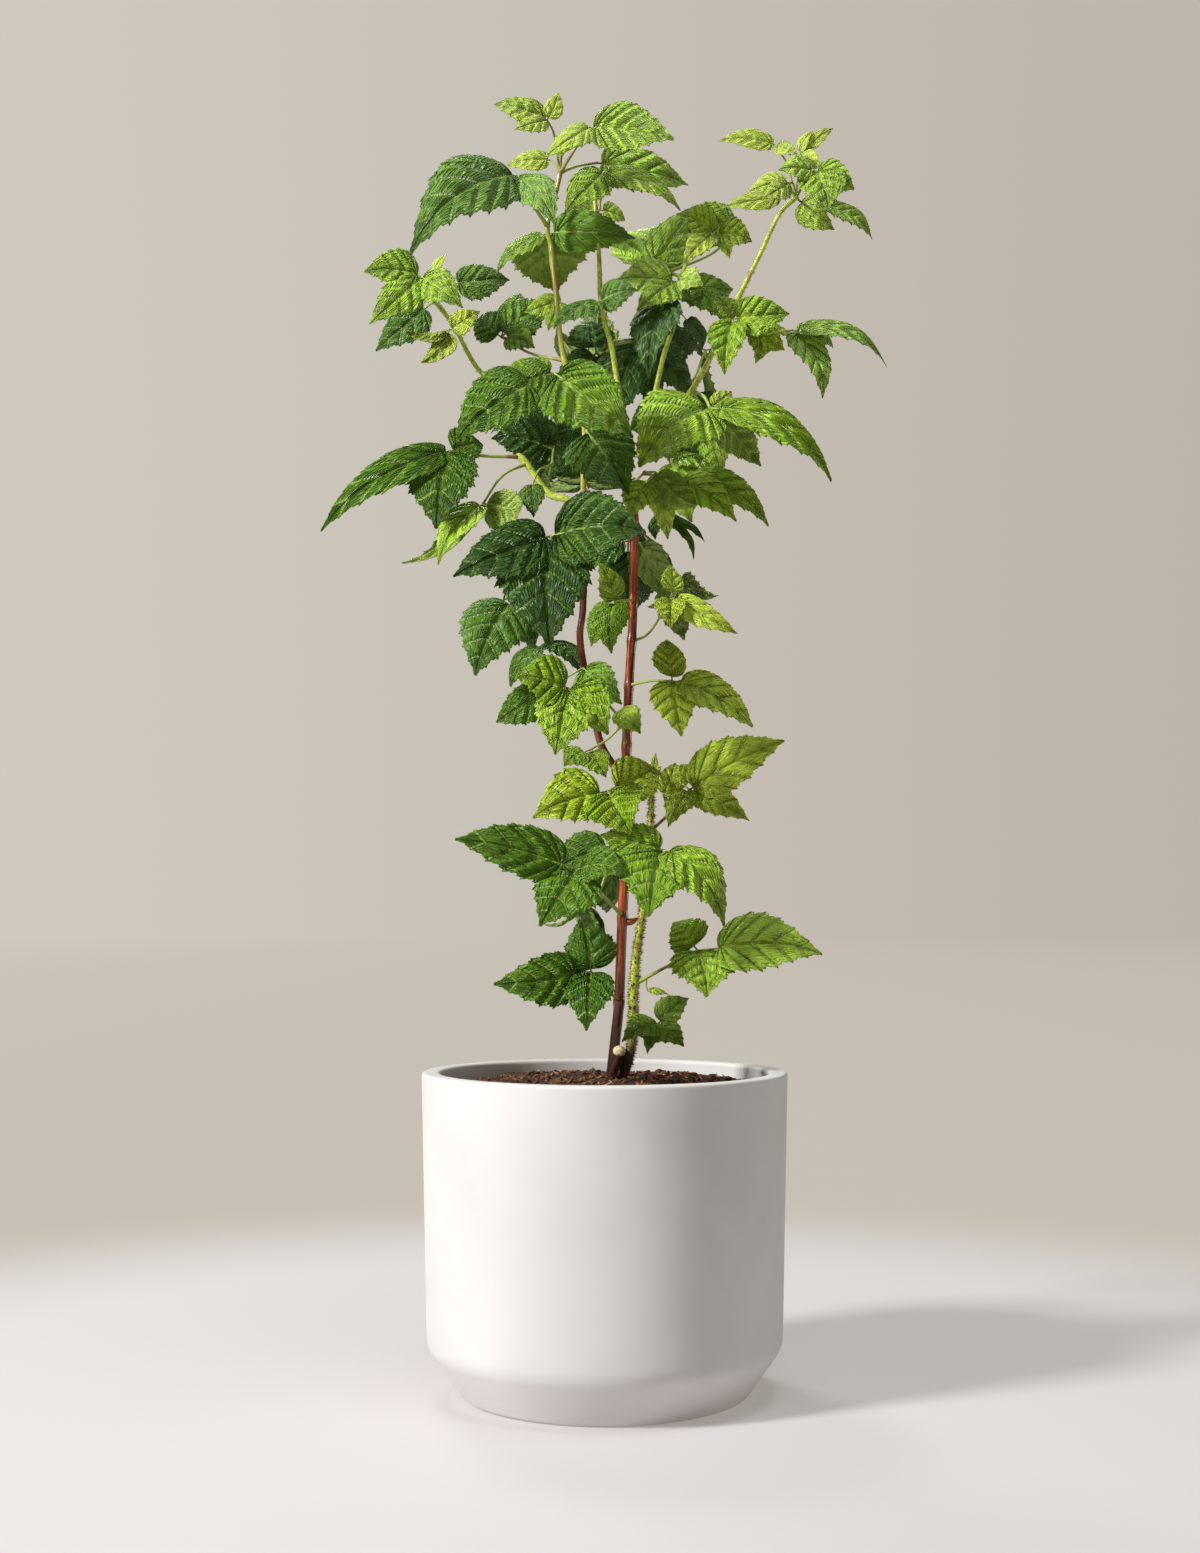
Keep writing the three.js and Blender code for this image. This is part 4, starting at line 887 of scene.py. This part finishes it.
def blade_grid(veins):
    """A flat leaflet with a number of vein pairs: its points, its faces and the points round its rim."""
    teeth, across = (TEETH, ACROSS) if veins > 6 else (SMALL_TEETH, SMALL_ACROSS)
    rows = veins * len(teeth)
    share = np.arange(rows + 1) / rows
    margin = smooth_path(OUTLINE, 240)
    along, out = (np.interp(share, margin[:, 0], margin[:, k]) for k in (1, 2))
    rib = np.maximum.accumulate(np.maximum(along - VEIN_LAG * out, 0.12 * share))
    rib = np.minimum(rib, 1.0)
    rib[0], rib[-1] = 0.0, 1.0
    tooth = np.resize(teeth, rows + 1) * TOOTH_SIZE * limited(share * 8) * (0.3 + 1.4 * out)
    tooth[-1] = 0
    columns = [(-1, t) for t in across[:0:-1]] + [(1, t) for t in across]
    flat, numbers = [], {}
    for row in range(rows + 1):
        for column, (sign, t) in enumerate(columns):
            if row in (0, rows) and column:
                numbers[row, column] = numbers[row, 0]
                continue
            numbers[row, column] = len(flat)
            x = rib[row] + (along[row] - rib[row]) * (0.8 * t + 0.2 * t * t) + 0.55 * tooth[row] * t**7
            y = sign * (out[row] * t + tooth[row] * t**7)
            flat.append((x, y, row / len(teeth), t, sign, share[row]))
    faces = []
    last = len(columns) - 1
    for row in range(rows):
        for column in range(last):
            corners = (row, column), (row, column + 1), (row + 1, column + 1), (row + 1, column)
            face = list(dict.fromkeys(numbers[corner] for corner in corners))
            if len(face) > 2:
                faces.append(face)
    right = [numbers[row, last] for row in range(rows + 1)]
    left = [numbers[row, 0] for row in range(rows - 1, 0, -1)]
    return np.array(flat), faces, right + left


GRIDS = [blade_grid(FEWEST_VEINS + more) for more in range(len(WIDTHS_FOR_MORE_VEINS) + 1)]


def blade_frame(way, turn):
    """The ways that are up from a blade and across it, for one that points this way and is so turned."""
    face = unit(FACING - way * FACING.dot(way))
    side = np.cross(way, face)
    angle = math.radians(turn)
    up = face * math.cos(angle) + side * math.sin(angle)
    return up, side * math.cos(angle) - face * math.sin(angle)


def add_leaflet(shape, node, reach, width, turn, neck, arch, age, tones, rng):
    """One leaflet: a toothed, pleated, arched blade on its own short stalk."""
    length = np.linalg.norm(reach)
    way = reach / length
    up, across = blade_frame(way, turn)
    flat, grid_faces, rim = GRIDS[sum(width >= WIDTHS_FOR_MORE_VEINS)]
    fold, camber, pleat, curl = AGES[age]
    fold *= rng.uniform(0.6, 1.5)
    camber *= rng.uniform(0.6, 1.3)
    curl *= rng.uniform(0.3, 1.8)
    wave, wave_at = rng.uniform(0.012, 0.035), rng.uniform(0, 6.3)
    lean, twist = rng.uniform(-0.05, 0.05), rng.uniform(-0.25, 0.25)
    neck_share = max(neck, SHORTEST_NECK) / length
    x, y, phase, t, sign, share = flat.T
    along = neck_share + (1 - neck_share) * x
    out = y * (1 + 0.06 * sign * math.copysign(1, lean))
    edge = np.abs(out) * width
    valley = np.abs(np.sin(math.pi * phase)) ** 0.55
    fade = limited(t * 5) * (1 - 0.45 * t**2) * limited((1 - x) * 4) * limited(share * 9)
    lift = length * (arch * hump(along) - curl * limited((x - 0.6) / 0.4) ** 2)
    lift += fold * edge - camber * edge * 2 * np.abs(out) + pleat * width * valley * fade
    lift += wave * width * np.sin(wave_at + 9 * x + sign) * t**2
    lift -= 0.012 * width * np.exp(-((t / 0.07) ** 2)) * limited(x * 10)
    spin = twist * (x - 0.4)
    sway = out * width * np.cos(spin) + lean * length * hump(x)
    place = node + np.outer(along * length, way) + np.outer(sway, across)
    place += np.outer(lift + out * width * np.sin(spin), up)
    # The underside: a thin body that is thicker along the veins.
    vein = np.exp(-((phase - np.round(phase)) ** 2) / 0.006) * (1 - t) + 2 * np.exp(-((t / 0.06) ** 2))
    vein *= min(1, width / LARGE_WIDTH) * np.clip((1 - x) * 3, 0.1, 1)
    under = place - np.outer(width * 0.004 + BLADE_THICKNESS + VEIN_THICKNESS * vein, up)
    count = len(place)
    faces = [face[::-1] for face in grid_faces]
    faces += [[i + count for i in face] for face in grid_faces]
    faces += [(a, b, b + count, a + count) for a, b in zip(rim, rim[1:] + rim[:1])]
    tone = rng.uniform(*tones)
    veins = np.column_stack([phase, t, np.full(count, tone * 10)])
    look = [np.broadcast_to((tone, side, width / LARGE_WIDTH), (count, 3)) for side in (0, 1)]
    shape.add(np.vstack([place, under]), faces, veins=np.vstack([veins, veins]), look=np.vstack(look))
    shares = np.linspace(0, neck_share + (1 - neck_share) * 0.12, NECK_STEPS + 1)
    stem = node + np.outer(shares * length, way)
    stem += np.outer(arch * length * hump(shares) - 0.3 * MM, up)
    stem += np.outer(lean * length * 0.1 * shares, across)
    thick = LEAFLET_STALK_RADIUS * (0.7 + width / (60 * MM))
    add_bar(shape, stem, np.linspace(1, 0.55, NECK_STEPS + 1) * thick, NECK_SIDES, 1)


def make_leaf(piece, nodes, start, age, tones, sprays, seed):
    """A piece of foliage: stalks from the start on a cane, each with its leaflets where it ends."""
    rng = random.Random(seed)
    shape = Shape()
    for bend, meeting, *fork, leaflets in sprays:
        meeting = metres(meeting)
        root = metres(fork[0]) if fork else start
        broadest = max(leaflet[3] for leaflet in leaflets) * MM
        size = STALK_RADIUS * min(1.15, 0.55 + 0.5 * broadest / LARGE_WIDTH)
        along = np.linspace(0, 1, STALK_STEPS + 1)
        radii = np.interp(along, [0, 0.08, 0.2, 1], [1.7, 1.25, 1.0, 0.75]) * size
        add_bar(shape, smooth_path([root, metres(bend), meeting], STALK_STEPS), radii, STALK_SIDES, 1)
        for x, y, z, width, turn, *own in leaflets:
            neck, arch = own + [USUAL_NECK, USUAL_ARCH][len(own):]
            add_leaflet(shape, meeting, metres((x, y, z)), width * MM, turn, neck * MM, arch, age,
                        TONES[tones], rng)
    settle(shape.build(piece, LEAF_FINISH[age], STALK), "leaf_" + age, *nodes)


# ----- Studio -----
DOME_REACH = 30.0


def backdrop_glow(f):
    """The backdrop's own light, a little brighter to the left."""
    across = f.parts(f.place())[0]
    return f.node("Emission", f.mix(f.ramp(across, -12.0, 12.0), (208, 202, 191), (189, 180, 168)))


def make_floor():
    """A pale floor that fades far out into the backdrop's colour."""
    f = Finish("studio_floor", 0.8)
    f.paint(Base_Color=colour((179, 175, 177)), Specular_IOR_Level=0.1)
    f.paint(Emission_Color=colour((255, 247, 236)), Emission_Strength=0.25)
    far = f.node("VectorMath", f.place(), operation="LENGTH").outputs["Value"]
    f.blend(f.ramp(far, 0.5, 0.95), backdrop_glow(f))
    floor = Shape()
    reach = DOME_REACH - 1
    corners = [(x * reach, y * reach, 0) for x, y in ((-1, -1), (1, -1), (1, 1), (-1, 1))]
    floor.add(corners, [(0, 1, 2, 3)])
    floor.build("studio_floor", f.material)


def make_backdrop():
    """A dim even sky for light, and a far dome that only the camera sees."""
    world = bpy.data.worlds.new("studio_sky")
    world.use_nodes = True
    sky = world.node_tree.nodes["Background"].inputs
    sky["Color"].default_value = (1.0, 0.96, 0.91, 1)
    sky["Strength"].default_value = 0.06
    bpy.context.scene.world = world
    f = Finish("studio_dome")
    f.feed(f.surface, backdrop_glow(f).outputs[0])
    arc = np.linspace(-math.pi / 2, math.pi / 2, 25)
    profile = [(DOME_REACH * math.cos(a), DOME_REACH * math.sin(a)) for a in arc]
    dome = turned("studio_dome", profile, 48, f.material)
    dome.visible_diffuse = dome.visible_glossy = dome.visible_transmission = dome.visible_shadow = False


def make_light(name, place, aim_height, size, watts, tint):
    """A round soft light that points at a height on the plant's middle."""
    lamp = bpy.data.lights.new(name, "AREA")
    lamp.shape = "DISK"
    lamp.size = size
    lamp.energy = watts
    lamp.color = tint
    light = add_object(name, lamp)
    light.location = place
    aim = Vector((0, 0, aim_height)) - Vector(place)
    light.rotation_euler = aim.to_track_quat("-Z", "Y").to_euler()


def make_camera():
    """A camera a little below the plant's middle, tilted slightly up."""
    lens = bpy.data.cameras.new("camera")
    lens.sensor_width = 36
    lens.lens = 46.2
    camera = add_object("camera", lens)
    camera.location = (-0.0032, -1.4, 0.3273)
    tilt = 0.0695
    camera.rotation_euler = (math.pi / 2 + tilt, 0, 0)
    bpy.context.scene.camera = camera


# ----- Making everything -----
bpy.context.scene.view_settings.view_transform = "Standard"
make_camera()
make_floor()
make_backdrop()
make_light("window_light", (-3.16, -1.87, 2.5), 0.45, 0.8, 234, (1.0, 0.995, 0.985))
make_light("top_light", (0.3, -0.5, 3.3), 0.5, 1.4, 34, (0.94, 0.975, 1.0))
make_light("edge_light", (2.3, 0.9, 0.5), 0.12, 0.5, 6, (1.0, 0.97, 0.93))
make_light("back_light", (-0.7, 1.7, 2.8), 0.6, 0.8, 26, (1.0, 0.98, 0.94))

make_pot()
make_soil()
make_crown()
for cane_name in CANES:
    make_cane(cane_name)
make_stub_face()
for seed, (leaf, (cane, height, age, tones, sprays)) in enumerate(LEAVES.items(), FIRST_LEAF_SEED):
    path = CANE_PATHS[cane]
    start = path[np.argmin(np.abs(path[:, 2] - height * MM))]
    make_leaf("foliage_" + leaf, ["leaf_" + leaf], start, age, tones, sprays, seed)
make_leaf("young_cane_tip", [], CANE_PATHS["cane_young"][-1], "young", "usual", GROWING_TIP, TIP_SEED)
